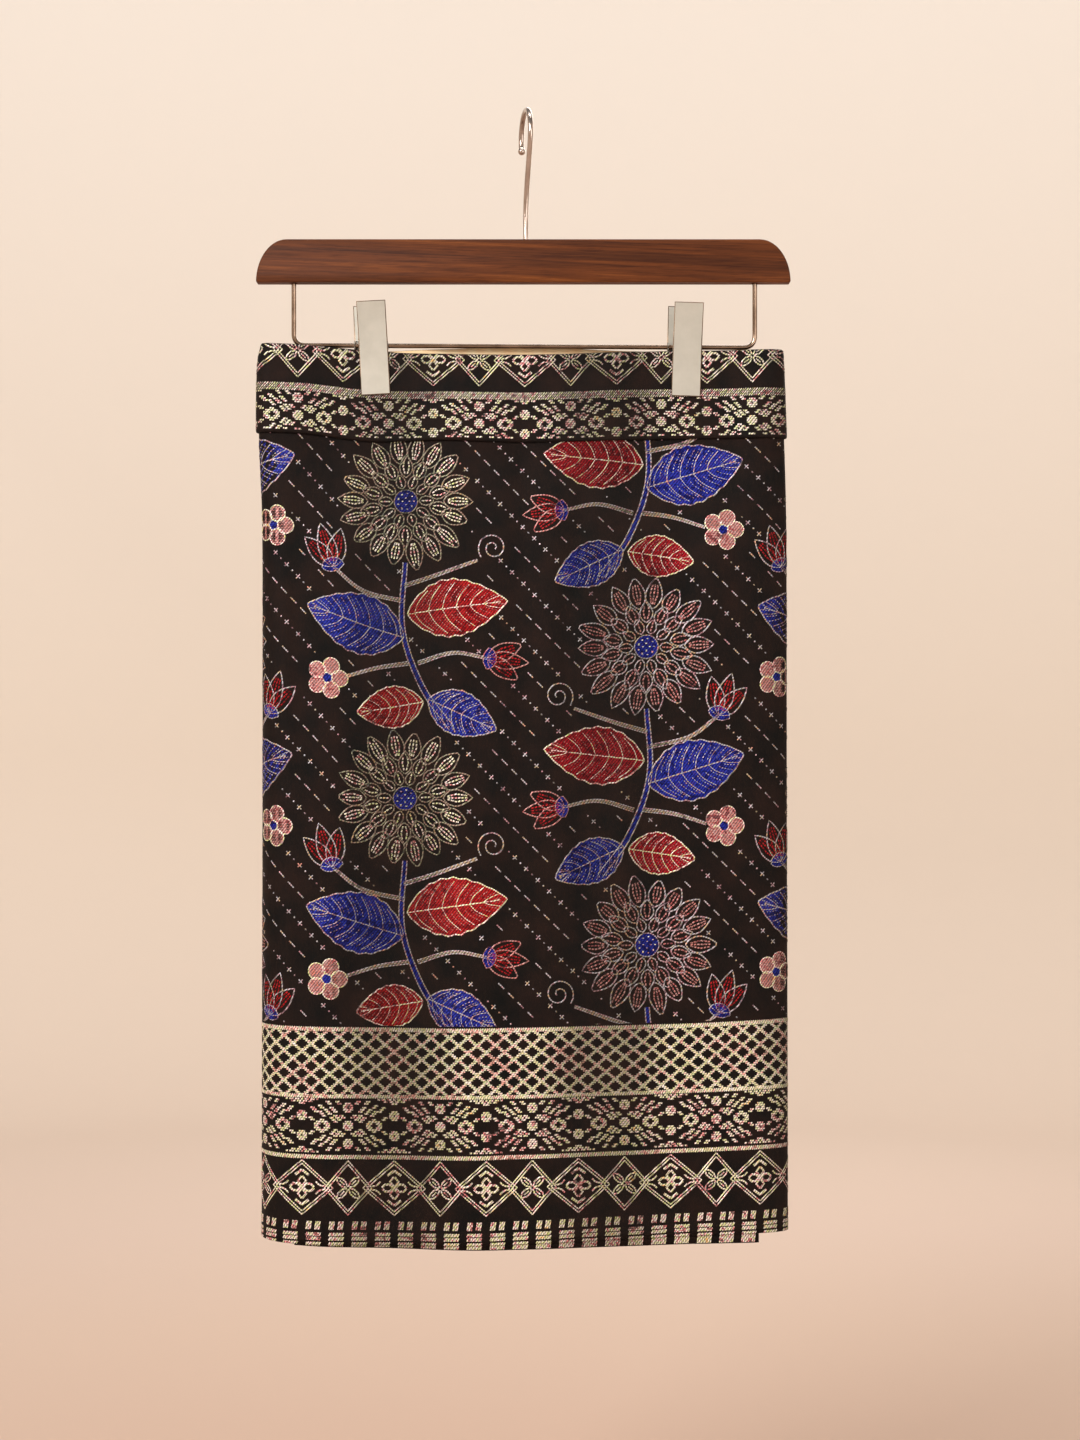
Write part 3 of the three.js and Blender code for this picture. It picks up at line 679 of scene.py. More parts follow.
class Threads:
    """Low relief in the tube's own (u, v) millimetres, laid base millimetres out from its outer face."""

    def __init__(self, base=0.0):
        self.base = base
        self.verts, self.tris = [], []
        self.count = 0

    def push(self, points, tris):
        self.verts.append(np.asarray(points, float))
        self.tris.append(np.asarray(tris) + self.count)
        self.count += len(points)

    def ribbon(self, line, width, high=0.22, step=3.2):
        """A thread along a line, with a ridge down its middle."""
        line = np.asarray(line, float)
        total = np.linalg.norm(np.diff(line, axis=0), axis=1).sum()
        if total < SHORTEST:
            return
        n = max(1, int(math.ceil(total / step)))
        if len(line) != n + 1:
            line = points_at(line, run_along(line), np.linspace(0, total, n + 1))
        across = sideways(line) * (width / 2)
        m = len(line)
        rows = [(line + across, FOOT), (line - across, FOOT), (line, high)]
        i = np.arange(m - 1)
        left, right, ridge = i, i + m, i + 2 * m
        quads = np.concatenate([
            np.stack([left, left + 1, ridge + 1, ridge], axis=1),
            np.stack([ridge, ridge + 1, right + 1, right], axis=1),
        ])
        points = np.concatenate([np.column_stack([row, np.full(m, height)]) for row, height in rows])
        self.push(points, np.concatenate([quads[:, [0, 1, 2]], quads[:, [0, 2, 3]]]))

    def pillow(self, u, v, w, h, high=0.28):
        """A four-sided stitch."""
        corners = [(u + su * w / 2, v + sv * h / 2, FOOT) for su, sv in ((-1, 1), (1, 1), (1, -1), (-1, -1))]
        self.push(corners + [(u, v, high)], [(0, 1, 4), (1, 2, 4), (2, 3, 4), (3, 0, 4)])

    def build(self, name, material, copies=(0,), low_v=-10, high_v=800):
        """One mesh of the repeats, cut off clean at the back's seam and at the heights low_v and high_v."""
        points, tris = np.concatenate(self.verts), np.concatenate(self.tris)
        all_points, all_tris, total = [], [], 0
        for shift in copies:
            moved = points + (shift, 0, 0)
            span = ends(moved[:, 1])
            cut = moved.copy()
            cut[:, 0] = np.clip(moved[:, 0], span[:, 0] + SEAM_MARGIN, span[:, 1] - SEAM_MARGIN)
            cut[:, 1] = np.clip(moved[:, 1], low_v, high_v)
            inside = (cut[:, :2] == moved[:, :2]).all(axis=1)
            a, b, c = (cut[tris[:, k], :2] for k in range(3))
            ab, ac = b - a, c - a
            area = np.abs(ab[:, 0] * ac[:, 1] - ac[:, 0] * ab[:, 1]) / 2
            kept = tris[inside[tris].any(axis=1) & (area > SMALLEST_TRIANGLE)]
            used, renumbered = np.unique(kept, return_inverse=True)
            all_points.append(cut[used])
            all_tris.append(renumbered.reshape(-1, 3) + total)
            total += len(used)
        points, tris = np.concatenate(all_points), np.concatenate(all_tris)
        world = surface(points[:, 0], points[:, 1], points[:, 2] + self.base)
        low, high = points[:, :2].min(axis=0), points[:, :2].max(axis=0)
        uv = (points[:, :2] - low) / (high - low)
        return make_object(name, world, tris, material, uv, points[:, :2] * CLOTH_MAP)


# ---- lines and fillings ----
def curve(points, n=24):
    """A smooth line through a few control points."""
    p = np.asarray(points, float)
    t = run_along(p)
    at = np.linspace(0, t[-1], n)
    return np.column_stack([through(t, p[:, axis], at) for axis in (0, 1)])


def offset(line, amount):
    return line + sideways(line) * np.asarray(amount)[:, None]


def dotted(threads, line, on, gap, width, high):
    line = np.asarray(line, float)
    along = run_along(line)
    at = gap
    while at + on < along[-1]:
        threads.ribbon(points_at(line, along, np.array([at, at + on])), width, high)
        at += on + gap


def inside_spans(polygon, v):
    """The u-spans of a closed outline at height v."""
    a, b = polygon, np.roll(polygon, -1, axis=0)
    crosses = (a[:, 1] <= v) != (b[:, 1] <= v)
    a, b = a[crosses], b[crosses]
    u = np.sort(a[:, 0] + (v - a[:, 1]) / (b[:, 1] - a[:, 1]) * (b[:, 0] - a[:, 0]))
    return [(u[k], u[k + 1]) for k in range(0, len(u) - 1, 2)]


# the weft threads that fill an outline, in mm
WEFT = dict(pitch=1.25, width=1.15, shortest=0.8)


def fill(threads, polygon, high=0.2):
    """Weft threads laid side by side inside an outline."""
    for v in np.arange(polygon[:, 1].min() + WEFT["pitch"] / 2, polygon[:, 1].max(), WEFT["pitch"]):
        for start, end in inside_spans(polygon, v):
            if end - start > WEFT["shortest"]:
                threads.ribbon([(start, v), (end, v)], WEFT["width"], high, step=7)


def place(points, at, angle):
    """Local points, x across and y from the root to the tip, the tip turned to look along angle."""
    c, s = math.cos(angle), math.sin(angle)
    p = np.asarray(points, float)
    return np.column_stack([at[0] - p[:, 0] * s + p[:, 1] * c, at[1] + p[:, 0] * c + p[:, 1] * s])


def circle(centre, radius, sides=18):
    turn = np.linspace(0, 2 * math.pi, sides, endpoint=False)
    return np.array(centre) + radius * np.column_stack([np.cos(turn), np.sin(turn)])


def outlined(threads, polygon, width=1.05, high=0.34, step=3.0):
    threads.ribbon(np.concatenate([polygon, polygon[:1]]), width, high, step)


def pointed_oval(length, width, n=15, belly=0.8, ripple=0.0):
    """Half the width and the distance from the root, down a petal or leaf to its pointed tip."""
    t = np.linspace(0, 1, n)
    half = width / 2 * np.sin(math.pi * t ** belly) ** 0.85 * (1 + ripple * np.cos(2 * math.pi * 8 * t))
    return half, t * length


def both_sides(half, along):
    """The closed outline of a pointed oval."""
    return np.concatenate([np.column_stack([half, along]), np.column_stack([-half, along])[-2:0:-1]])


# ---- motifs of the field ----
def petal(root, angle, length, width, edge, inner, rows, high=0.3):
    outlined(edge, place(both_sides(*pointed_oval(length, width)), root, angle), 1.0, high, 3.6)
    for row in range(rows):
        across = 0 if rows == 1 else (row / (rows - 1) - 0.5) * width * 0.46
        line = [(across * 0.3, 0.12 * length), (across, 0.45 * length), (across * 0.55, 0.84 * length)]
        dotted(inner, place(line, root, angle), 2.0, 0.7, 1.1, high - 0.06)


# a rosette's rings: petals, their start, length and width as shares of its radius, and their stitched rows
ROSETTE_RINGS = [
    {"petals": 18, "start": 0.55, "length": 0.45, "width": 0.24, "rows": 3},
    {"petals": 14, "start": 0.35, "length": 0.32, "width": 0.19, "rows": 2},
    {"petals": 10, "start": 0.19, "length": 0.23, "width": 0.14, "rows": 1},
]


def rosette(centre, radius, edge, inner, heart, seeds, seed):
    """A round flower of three rings of pointed petals about a seeded heart."""
    rng = np.random.default_rng(seed)
    for number, row in enumerate(ROSETTE_RINGS):
        for k in range(row["petals"]):
            angle = 2 * math.pi * (k + 0.5 * (number % 2) + rng.uniform(-0.08, 0.08)) / row["petals"]
            root = place([(0, row["start"] * radius)], centre, angle)[0]
            length = row["length"] * radius * rng.uniform(0.88, 1.08)
            petal(root, angle, length, row["width"] * radius, edge, inner, row["rows"], 0.28 + 0.03 * number)
    disc = circle(centre, radius * 0.17)
    fill(heart, disc, high=0.32)
    outlined(edge, disc, 1.0, 0.38, 2.4)
    for reach, count in ((0.05, 4), (0.115, 9)):
        for u, v in circle(centre, radius * reach, count):
            seeds.pillow(u, v, 1.5, 1.5, high=0.44)


def leaf(root, angle, length, width, colour, edge, stitches, veins=6):
    """A smooth pointed leaf with a midrib, arched veins and stitches between them."""
    half, along = pointed_oval(length, width, 41, 0.84, 0.035)
    polygon = place(both_sides(half, along), root, angle)
    fill(colour, polygon)
    outlined(edge, polygon, 1.1, 0.36, 2.6)
    edge.ribbon(place([(0, 0), (0, 0.93 * length)], root, angle), 1.1, 0.34)
    for k in range(veins):
        base = (k + 0.5) / (veins + 1.2)
        for step, dots in ((0, False), (0.36 / veins, True), (0.68 / veins, True)):
            low, tip = base + step, min(base + step + 0.16, 0.97)
            reach = float(np.interp(tip * length, along, half)) * 0.86
            for side in (1, -1):
                bend = (side * reach * 0.5, (low + 0.05) * length)
                line = curve([(0, low * length), bend, (side * reach, tip * length)], 6)
                if dots:
                    dotted(stitches, place(line[1:], root, angle), 1.4, 1.1, 0.7, 0.29)
                else:
                    edge.ribbon(place(line, root, angle), 0.8, 0.31, step=4)


def tulip(root, angle, size, edge, inner, cup):
    """A bud of three petals standing in a cup."""
    for lean in (-0.5, 0.5, 0.0):
        length, high = (size * 0.9, 0.3) if lean else (size, 0.34)
        petal(root, angle + lean, length, size * 0.42, edge, inner, 3, high)
    half_turn = np.linspace(0, math.pi, 11)
    bowl = np.column_stack([np.cos(half_turn), np.sin(half_turn) * 0.8]) * size * 0.26
    bowl = place(np.concatenate([bowl, [(-size * 0.1, -size * 0.1), (size * 0.1, -size * 0.1)]]), root, angle)
    fill(cup, bowl, high=0.38)
    outlined(edge, bowl, 0.85, 0.42)


def blossom(centre, radius, petals, edge, heart):
    """Five round petals about a small heart."""
    for middle in circle(centre, radius * 0.6, 5):
        round_petal = circle(middle, radius * 0.4, 14)
        fill(petals, round_petal)
        outlined(edge, round_petal, 0.9, 0.34, 2.4)
    disc = circle(centre, radius * 0.24, 12)
    fill(heart, disc, high=0.36)
    outlined(edge, disc, 0.8, 0.4, 2.0)


def tendril(centre, radius, start, side, edge):
    t = np.linspace(0, 1, 26)
    turn = start + side * 3.4 * math.pi * t
    spiral = (radius * (1 - 0.84 * t))[:, None] * np.column_stack([np.cos(turn), np.sin(turn)])
    edge.ribbon(np.array(centre) + spiral, 0.95, 0.26, step=2.2)


def stem(points, width, outline, inner, taper=0.4):
    line = curve(points, 16)
    half = width / 2 * (1 - taper * np.linspace(0, 1, len(line)))
    for side in (1, -1):
        outline.ribbon(offset(line, side * half), 0.9, 0.24, step=5)
    inner.ribbon(line, max(width - 1.6, 0.9), 0.2, step=5)


# ---- the field: a generic floral of one spray, in a half-drop repeat ----
REPEAT = 350.0
FIELD_TOP, FIELD_BOTTOM = 60, 521
COLUMN, ROW = REPEAT / 2, (FIELD_BOTTOM - FIELD_TOP) / 2

# the spray in its own millimetres, x to the right and y down; angles are degrees, 0 to the right and 90 down
MAIN_STEM = [(30, 116), (8, 86), (-8, 40), (-6, -12)]
SIDE_STEMS = [
    [(4, 66), (32, 58), (58, 62)], [(-3, 66), (-28, 70), (-52, 78)], [(-6, 18), (-40, 10), (-62, -6)],
    [(-7, 6), (18, -2), (50, -14)],
]
ROSETTE = {"x": -6, "y": -60, "radius": 54}
LEAVES = [
    {"x": -4, "y": 28, "degrees": -8, "length": 78, "width": 44, "tone": "warm"},
    {"x": -7, "y": 46, "degrees": 196, "length": 78, "width": 46, "tone": "cool"},
    {"x": 12, "y": 94, "degrees": 24, "length": 58, "width": 34, "tone": "cool"},
    {"x": 8, "y": 96, "degrees": 170, "length": 52, "width": 32, "tone": "warm"},
]
TULIPS = [
    {"x": 58, "y": 62, "degrees": 6, "size": 32, "petals": "rose"},
    {"x": -62, "y": -6, "degrees": -108, "size": 34, "petals": "mist"},
]
BLOSSOM = {"x": -66, "y": 80, "radius": 16}
TENDRIL = {"x": 62, "y": -24, "radius": 12, "degrees": 140}

FIELD_MATERIALS = {
    "light": LIGHT, "mist": MIST, "green": GREEN, "rose": ROSE, "red": RED, "coral": CORAL, "blue": BLUE,
}
field = {name: Threads() for name in FIELD_MATERIALS}


def spray(u, v, side, seed):
    """One spray about (u, v), mirrored where side is -1, in one of two colourings."""
    def spot(row):
        return (u + side * row["x"], v + row["y"])

    def turned(row):
        return math.radians(row["degrees"] if side > 0 else 180 - row["degrees"])

    def route(points):
        return [(u + side * x, v + y) for x, y in points]

    light, mist, green, rose, blue = (field[name] for name in ("light", "mist", "green", "rose", "blue"))
    edge, inner = (green, light) if side > 0 else (mist, rose)
    tones = {"warm": (field["red"] if seed % 2 else field["coral"], light, rose), "cool": (blue, mist, mist)}
    for points in SIDE_STEMS:
        stem(route(points), 2.8, mist, green)
    stem(route(MAIN_STEM), 4.4, mist, blue, taper=0.25)
    rosette(spot(ROSETTE), ROSETTE["radius"], edge, inner, blue, light, seed)
    for row in LEAVES:
        leaf(spot(row), turned(row), row["length"], row["width"], *tones[row["tone"]])
    for row in TULIPS:
        tulip(spot(row), turned(row), row["size"], field[row["petals"]], field["coral"], blue)
    blossom(spot(BLOSSOM), BLOSSOM["radius"], rose, light, blue)
    tendril(spot(TENDRIL), TENDRIL["radius"], turned(TENDRIL), side, mist)


for column, side in ((-0.5, 1), (0.5, -1)):
    drop = 0 if side > 0 else -ROW / 2
    for row in range(3):
        spray(COLUMN * column, FIELD_TOP + ROW * (row + 0.5) + drop, side, 2 * row + (side < 0))

# the motifs' footprint is kept on a raster of one repeat, in mm, and grown by a clearance on each side
MASK_ROWS, CLEARANCE = 560, 4


def footprint():
    """Where the motifs are, so that the dashes stop short of them."""
    mask = np.zeros((MASK_ROWS, int(REPEAT)), bool)
    for threads in field.values():
        p = np.concatenate(threads.verts)
        rows, columns = np.clip(p[:, 1], 0, MASK_ROWS - 1), np.mod(p[:, 0], REPEAT)
        mask[rows.astype(int), columns.astype(int) % int(REPEAT)] = True
    for _ in range(CLEARANCE):
        shifted = [np.roll(mask, shift, axis) for axis in (0, 1) for shift in (-1, 1)]
        mask = np.logical_or.reduce([mask, *shifted])
    return mask


MASK = footprint()
# dashes, and crosses with dots between them, run down diagonals by turns, in mm
DIAGONALS = dict(first=-246.4, pitch=43.75, numbers=range(-16, 10))
DASH = dict(top=62.5, pitch=7.5, half=2.2, width=0.95, near=2)
CROSS = dict(top=64, pitch=8.84, half=1.5, width=0.85)
DOT = 1.1


def free(u, v):
    return not MASK[int(np.clip(v, 0, MASK_ROWS - 1)), int(u % REPEAT) % int(REPEAT)]


def marks(c, row):
    """The (u, v) of a row's marks down the diagonal u = c + v, within one repeat."""
    down = np.arange(row["top"], FIELD_BOTTOM - 1, row["pitch"])
    return [(c + v, v) for v in down if -COLUMN <= c + v < COLUMN]


def diagonals():
    threads = Threads()
    slant, near, half, halfway = DASH["half"], DASH["near"], CROSS["half"], CROSS["pitch"] / 2
    for k in DIAGONALS["numbers"]:
        c = DIAGONALS["first"] + DIAGONALS["pitch"] * k
        for u, v in marks(c, DASH):
            if free(u, v) and free(u + near, v + near) and free(u - near, v - near):
                threads.ribbon([(u - slant, v - slant), (u + slant, v + slant)], DASH["width"], 0.26, step=4)
        for u, v in marks(c + DIAGONALS["pitch"] / 2, CROSS):
            if free(u, v):
                for side in (1, -1):
                    arm = [(u - half, v - half * side), (u + half, v + half * side)]
                    threads.ribbon(arm, CROSS["width"], 0.26)
            if free(u + halfway, v + halfway):
                threads.pillow(u + halfway, v + halfway, DOT, DOT)
    return threads


# ---- borders: u starts at a medallion's middle ----
UNIT = 71.0
CELL_U, CELL_V = UNIT / 48, 1.52
# one quarter of a medallion, in cells from its middle; the other quarters mirror it
MEDALLION_COLUMNS, MEDALLION_ROWS = 24, 13
MEDALLION_RINGS = [
    {"column": 0, "row": 0, "outer": 2.5, "hole": -1, "stretch": 1.0},
    {"column": 13.5, "row": 0, "outer": 3.1, "hole": 1.1, "stretch": 1.4},
    {"column": 0, "row": 9, "outer": 2.3, "hole": 0.6, "stretch": 1.1},
    {"column": 24, "row": 5, "outer": 2.3, "hole": 0.6, "stretch": 1.1},
]
# short stepped strokes that lead away from the middle: column, row, steps
MEDALLION_STROKES = [
    (2, 4, 2), (4, 3, 3), (6, 2, 3), (6, 7, 3), (9, 6, 3), (12, 5, 3),
    (13, 9, 2), (16, 7, 3), (18, 3, 2), (4, 11, 2), (9, 11, 2),
]
# rows near the band's edges are stippled from these columns on
MEDALLION_STIPPLE = {11: 22, 12: 19, 13: 16}

# the bands' heights down the cloth, in mm
LATTICE_TOP, LATTICE_HEIGHT = 524, 50.8
BORDER_LINES = [(524, 3.0), (574.8, 2.6), (620.6, 3.0)]
BORDER_SONGKET = (597.0, 575.5, 618.6)
DIAMOND_MIDDLE, DIAMOND_HALF = 644, 20.6
SQUARES, SQUARE_HALF, SQUARE_SHIFT = (669.3, 675.5), 2.4, 3.4
BLOCKS, BLOCK_HALF = [(677.8, 680.3), (681.0, 683.6), (685.0, 686.8)], 5.9
WAIST_LINES = (30.2, 32.2, 34.2)
WAIST_SONGKET, WAIST_DIAMONDS = (54.4, 35.4, 66.6), 4.0
# where the hem's and the waist's first medallions have their middles
HEM_MIDDLE, WAIST_MIDDLE = -65.9, -36.2
# the lattice's bars are crossed rows of stitches
LATTICE_COLUMNS, LATTICE_ROWS, STITCH = 5, 4.5, 1.3
LATTICE_CELL, LATTICE_STEP = UNIT / LATTICE_COLUMNS, LATTICE_HEIGHT / LATTICE_ROWS


def medallion_cells():
    cells = set()
    for column in range(MEDALLION_COLUMNS + 1):
        for row in range(MEDALLION_ROWS + 1):
            for disc in MEDALLION_RINGS:
                away = math.hypot((column - disc["column"]) / disc["stretch"], row - disc["row"])
                if disc["hole"] < away <= disc["outer"]:
                    cells.add((column, row))
            if row in MEDALLION_STIPPLE and column >= MEDALLION_STIPPLE[row] and (column + row) % 3:
                cells.add((column, row))
    for column, row, steps in MEDALLION_STROKES:
        for k in range(steps):
            cells |= {(column + k, row + k), (column + k + 1, row + k)}
    return sorted(cells)


MEDALLION = medallion_cells()


def songket(threads, middle_u, middle_v, low_v, high_v):
    """A medallion of small stitches, cut off at the band's edges."""
    margin = 0.7
    for column, row in MEDALLION:
        for su in ((1, -1) if column else (1,)):
            for sv in ((1, -1) if row else (1,)):
                v = middle_v + sv * row * CELL_V
                if low_v + margin < v < high_v - margin and (column < MEDALLION_COLUMNS or su > 0):
                    threads.pillow(middle_u + su * column * CELL_U, v, CELL_U * 1.2, CELL_V * 0.82)


def line_round(threads, v, width, stitch=1.25):
    """A line of short slanted stitches all the way round, cut off at the seam when the threads are built."""
    for u in np.arange(-ROUND, ROUND, 1.75):
        threads.ribbon([(u, v + width / 2), (u + 1.4, v - width / 2)], stitch, 0.3)


def diamond(threads, u, v, half_u, half_v):
    """Two lines, one inside the other."""
    corners = [(u - half_u, v), (u, v - half_v), (u + half_u, v), (u, v + half_v), (u - half_u, v)]
    for inset in (0.0, 1.95):
        shrink = 1 - inset / (half_u * half_v / math.hypot(half_u, half_v))
        for a, b in zip(corners, corners[1:]):
            threads.ribbon([(u + (p[0] - u) * shrink, v + (p[1] - v) * shrink) for p in (a, b)], 0.9, 0.3)


def lens(threads, u, v, du, dv, width, edge=1.1):
    """The outline of a pointed petal from (u, v) to (u + du, v + dv)."""
    line = curve([(u, v), (u + du / 2, v + dv / 2), (u + du, v + dv)], 9)
    half = width / 2 * np.sin(math.pi * (0.04 + 0.94 * np.linspace(0, 1, len(line)))) ** 0.9
    for side in (1, -1):
        threads.ribbon(offset(line, side * half), edge, 0.3, step=5)


def petal_diamond(threads, u, v):
    """A diamond about four petals on the slant."""
    diamond(threads, u, v, 18.2, DIAMOND_HALF)
    for su in (1, -1):
        for sv in (1, -1):
            lens(threads, u + su * 0.7, v + sv * 0.6, su * 8.2, sv * 7.3, 5.2)
            threads.ribbon([(u + su * 2.8, v + sv * 2.5), (u + su * 6.2, v + sv * 5.6)], 1.0, 0.26)


def flower_diamond(threads, u, v):
    """A wide diamond about four upright petals, with a roof above and below and a hook in each corner."""
    diamond(threads, u, v, 24.0, DIAMOND_HALF)
    for du, dv in ((1, 0), (-1, 0), (0, 1), (0, -1)):
        lens(threads, u + du * 1.2, v + dv * 1.2, du * 8.2, dv * 7.2, 6.4, 1.7)
    threads.pillow(u, v, 2.4, 2.4)
    for sv in (1, -1):
        for su in (-1, 1):
            threads.ribbon([(u + su * 5.2, v + sv * 9.4), (u, v + sv * 13.2)], 1.9, 0.3)
            bend = [(u + su * du, v + sv * dv) for du, dv in ((10.6, 4.8), (13.4, 1.7), (17.6, 1.3))]
            threads.ribbon(bend, 1.2, 0.3)


def stitched(threads, low_u, high_u, top, bottom):
    """A block of slanted stitches side by side."""
    for u in np.arange(low_u, high_u - 0.6, 1.45):
        threads.ribbon([(u + 0.2, bottom), (u + 1.25, top)], 1.15, 0.32, step=9)


def check_rows(threads, u):
    """Two squares over three blocks, under one quarter of a unit."""
    for du in (-SQUARE_SHIFT, SQUARE_SHIFT):
        stitched(threads, u + du - SQUARE_HALF, u + du + SQUARE_HALF, *SQUARES)
    for top, bottom in BLOCKS:
        stitched(threads, u - BLOCK_HALF, u + BLOCK_HALF, top, bottom)


def lattice_unit(threads, u):
    for q in range(LATTICE_COLUMNS):
        for su in (1, -1):
            for at in np.arange(0, LATTICE_ROWS, STITCH / LATTICE_STEP):
                stitch_u = u + LATTICE_CELL * q + su * LATTICE_CELL * at
                threads.pillow(stitch_u, LATTICE_TOP + LATTICE_STEP * at, 3.5, STITCH * 0.84, high=0.32)


border, lattice, edging, waist = Threads(), Threads(), Threads(), Threads(TUCK_LIFT)
for k in range(-6, 8):
    unit_u = HEM_MIDDLE + UNIT * k
    songket(border, unit_u, *BORDER_SONGKET)
    petal_diamond(border, unit_u, DIAMOND_MIDDLE)
    flower_diamond(border, unit_u + UNIT / 2, DIAMOND_MIDDLE)
    lattice_unit(lattice, unit_u)
    for q in range(4):
        check_rows(edging, unit_u + UNIT / 4 * (q - 1.5))
for v, width in BORDER_LINES:
    line_round(lattice, v, width)
for k in range(-6, 7):
    unit_u = WAIST_MIDDLE + UNIT * k
    songket(waist, unit_u, *WAIST_SONGKET)
    petal_diamond(waist, unit_u, WAIST_DIAMONDS)
    flower_diamond(waist, unit_u + UNIT / 2, WAIST_DIAMONDS)
for v in WAIST_LINES:
    line_round(waist, v, 1.7, stitch=0.75)

# the inner lap's own edging goes on below the front hem, where it shows
LAP_LEVEL, LAP_BLOCK_TOP, LAP_MARGIN, LAP_SIDE, LAP_LEAST = 690.0, 685.2, 0.8, 8, 1.3
lap_edging = Threads(LAP_LIFTS[0])
lap_low, lap_high = grid_value(LAP, LAP_LEVEL)
for k in range(-24, 26):
    u = HEM_MIDDLE + UNIT / 4 * (k + 0.5)
    share = (u - lap_low) / (lap_high - lap_low)
    bottom = LENGTH + DROP_LEFT + (DROP_RIGHT - DROP_LEFT) * share - LAP_MARGIN
    if lap_low + LAP_SIDE < u < lap_high - LAP_SIDE and bottom - LAP_BLOCK_TOP > LAP_LEAST:
        stitched(lap_edging, u - BLOCK_HALF, u + BLOCK_HALF, LAP_BLOCK_TOP, bottom)

COPIES = (-REPEAT, 0, REPEAT)
THREAD_PIECES = [
    *(field[name].build(f"field_threads_{name}", material, COPIES, FIELD_TOP, FIELD_BOTTOM)
      for name, material in FIELD_MATERIALS.items()),
    diagonals().build("field_dashes", MIST, COPIES, FIELD_TOP, FIELD_BOTTOM),
    border.build("border_threads", LIGHT),
    lattice.build("lattice_threads", LATTICE),
    edging.build("hem_checks", LIGHT, high_v=LENGTH - 0.1),
]
waist_threads = waist.build("waist_threads", WAIST, low_v=-0.3, high_v=66.8)
lap_threads = lap_edging.build("inner_lap_checks", LIGHT, high_v=LENGTH + DROP_RIGHT)


# ---- the hanger ----
def sweep(name, path, radii, material, sides=20):
    """A round wire along a path, closed at both ends; radii is one radius or one for each point."""
    path = np.asarray(path, float)
    n = len(path)
    tangent = np.gradient(path, axis=0)
    tangent /= np.linalg.norm(tangent, axis=1, keepdims=True)
    normal = np.zeros_like(path)
    seed = np.array([0.0, 1.0, 0.0]) if abs(tangent[0][1]) < 0.9 else np.array([1.0, 0.0, 0.0])
    for i in range(n):
        seed = seed - tangent[i] * np.dot(seed, tangent[i])
        seed /= np.linalg.norm(seed)
        normal[i] = seed
    other = np.cross(tangent, normal)
    turn = np.linspace(0, 2 * math.pi, sides, endpoint=False)[None, :, None]
    out = np.cos(turn) * normal[:, None, :] + np.sin(turn) * other[:, None, :]
    wall = path[:, None, :] + np.broadcast_to(radii, n)[:, None, None] * out
    verts = np.concatenate([wall.reshape(-1, 3), path[:1], path[-1:]])
    i, j = np.meshgrid(np.arange(n - 1), np.arange(sides), indexing="ij")
    a, b = (i * sides + j).ravel(), (i * sides + (j + 1) % sides).ravel()
    j = np.arange(sides)
    after, end = (j + 1) % sides, (n - 1) * sides
    first = np.full(sides, n * sides)
    corners = [
        (a, b, b + sides), (a, b + sides, a + sides),
        (first, after, j), (first + 1, end + j, end + after),
    ]
    return make_object(name, verts, np.concatenate([np.stack(row, axis=1) for row in corners]), material)


def hook_path():
    """A stem, a bend, a straight neck that meets the arc at a tangent, and the arc to the tip."""
    radius, centre = HOOK["inner"] + HOOK["wire"], -HOOK["inner"]
    reach = centre - HOOK["bend"]
    touch = -math.asin(radius / reach)

    def plane(out, up):
        return np.array([out * math.sin(HOOK["turn"]), -out * math.cos(HOOK["turn"]), up])

    points = [plane(0, up) for up in (HOOK["foot"], WOOD["top"], HOOK["bend"] - HOOK["bend_run"])]
    neck = math.sqrt(reach ** 2 - radius ** 2)
    for share in (0.25, 0.6):
        points.append(plane(neck * share * math.sin(-touch), HOOK["bend"] + neck * share * math.cos(touch)))
    for angle in np.linspace(touch, math.pi - HOOK["tip"], 15):
        points.append(plane(radius * math.cos(angle), centre + radius * math.sin(angle)))
    return np.array(points)


def catmull(points, per=8):
    """The centripetal curve that the frame's wire follows."""
    p = np.concatenate([[2 * points[0] - points[1]], points, [2 * points[-1] - points[-2]]])
    out = []
    for i in range(1, len(p) - 2):
        p0, p1, p2, p3 = p[i - 1:i + 3]
        t1 = max(np.linalg.norm(p1 - p0) ** 0.5, 1e-6)
        t2 = t1 + max(np.linalg.norm(p2 - p1) ** 0.5, 1e-6)
        t3 = t2 + max(np.linalg.norm(p3 - p2) ** 0.5, 1e-6)
        for t in np.linspace(t1, t2, per, endpoint=False):
            a1 = (t1 - t) / t1 * p0 + t / t1 * p1
            a2 = (t2 - t) / (t2 - t1) * p1 + (t - t1) / (t2 - t1) * p2
            a3 = (t3 - t) / (t3 - t2) * p2 + (t - t2) / (t3 - t2) * p3
            b1 = (t2 - t) / t2 * a1 + t / t2 * a2
            b2 = (t3 - t) / (t3 - t1) * a2 + (t - t1) / (t3 - t1) * a3
            out.append((t2 - t) / (t2 - t1) * b1 + (t - t1) / (t2 - t1) * b2)
    out.append(points[-1])
    return np.array(out)


def with_ball(path, radius, ball, steps=9):
    """A wire's path and radii, with its end swelling into a ball."""
    tip, along = path[-1], path[-1] - path[-2]
    along /= np.linalg.norm(along)
    angles = np.linspace(math.pi - math.asin(radius / ball), 0.02, steps)
    extra = np.array([tip + along * ball * math.cos(a) for a in angles])
    path = path[np.linalg.norm(path - tip, axis=1) > ball * 1.02]
    radii = np.concatenate([np.full(len(path), radius), ball * np.sin(angles)])
    return np.concatenate([path, extra]), radii


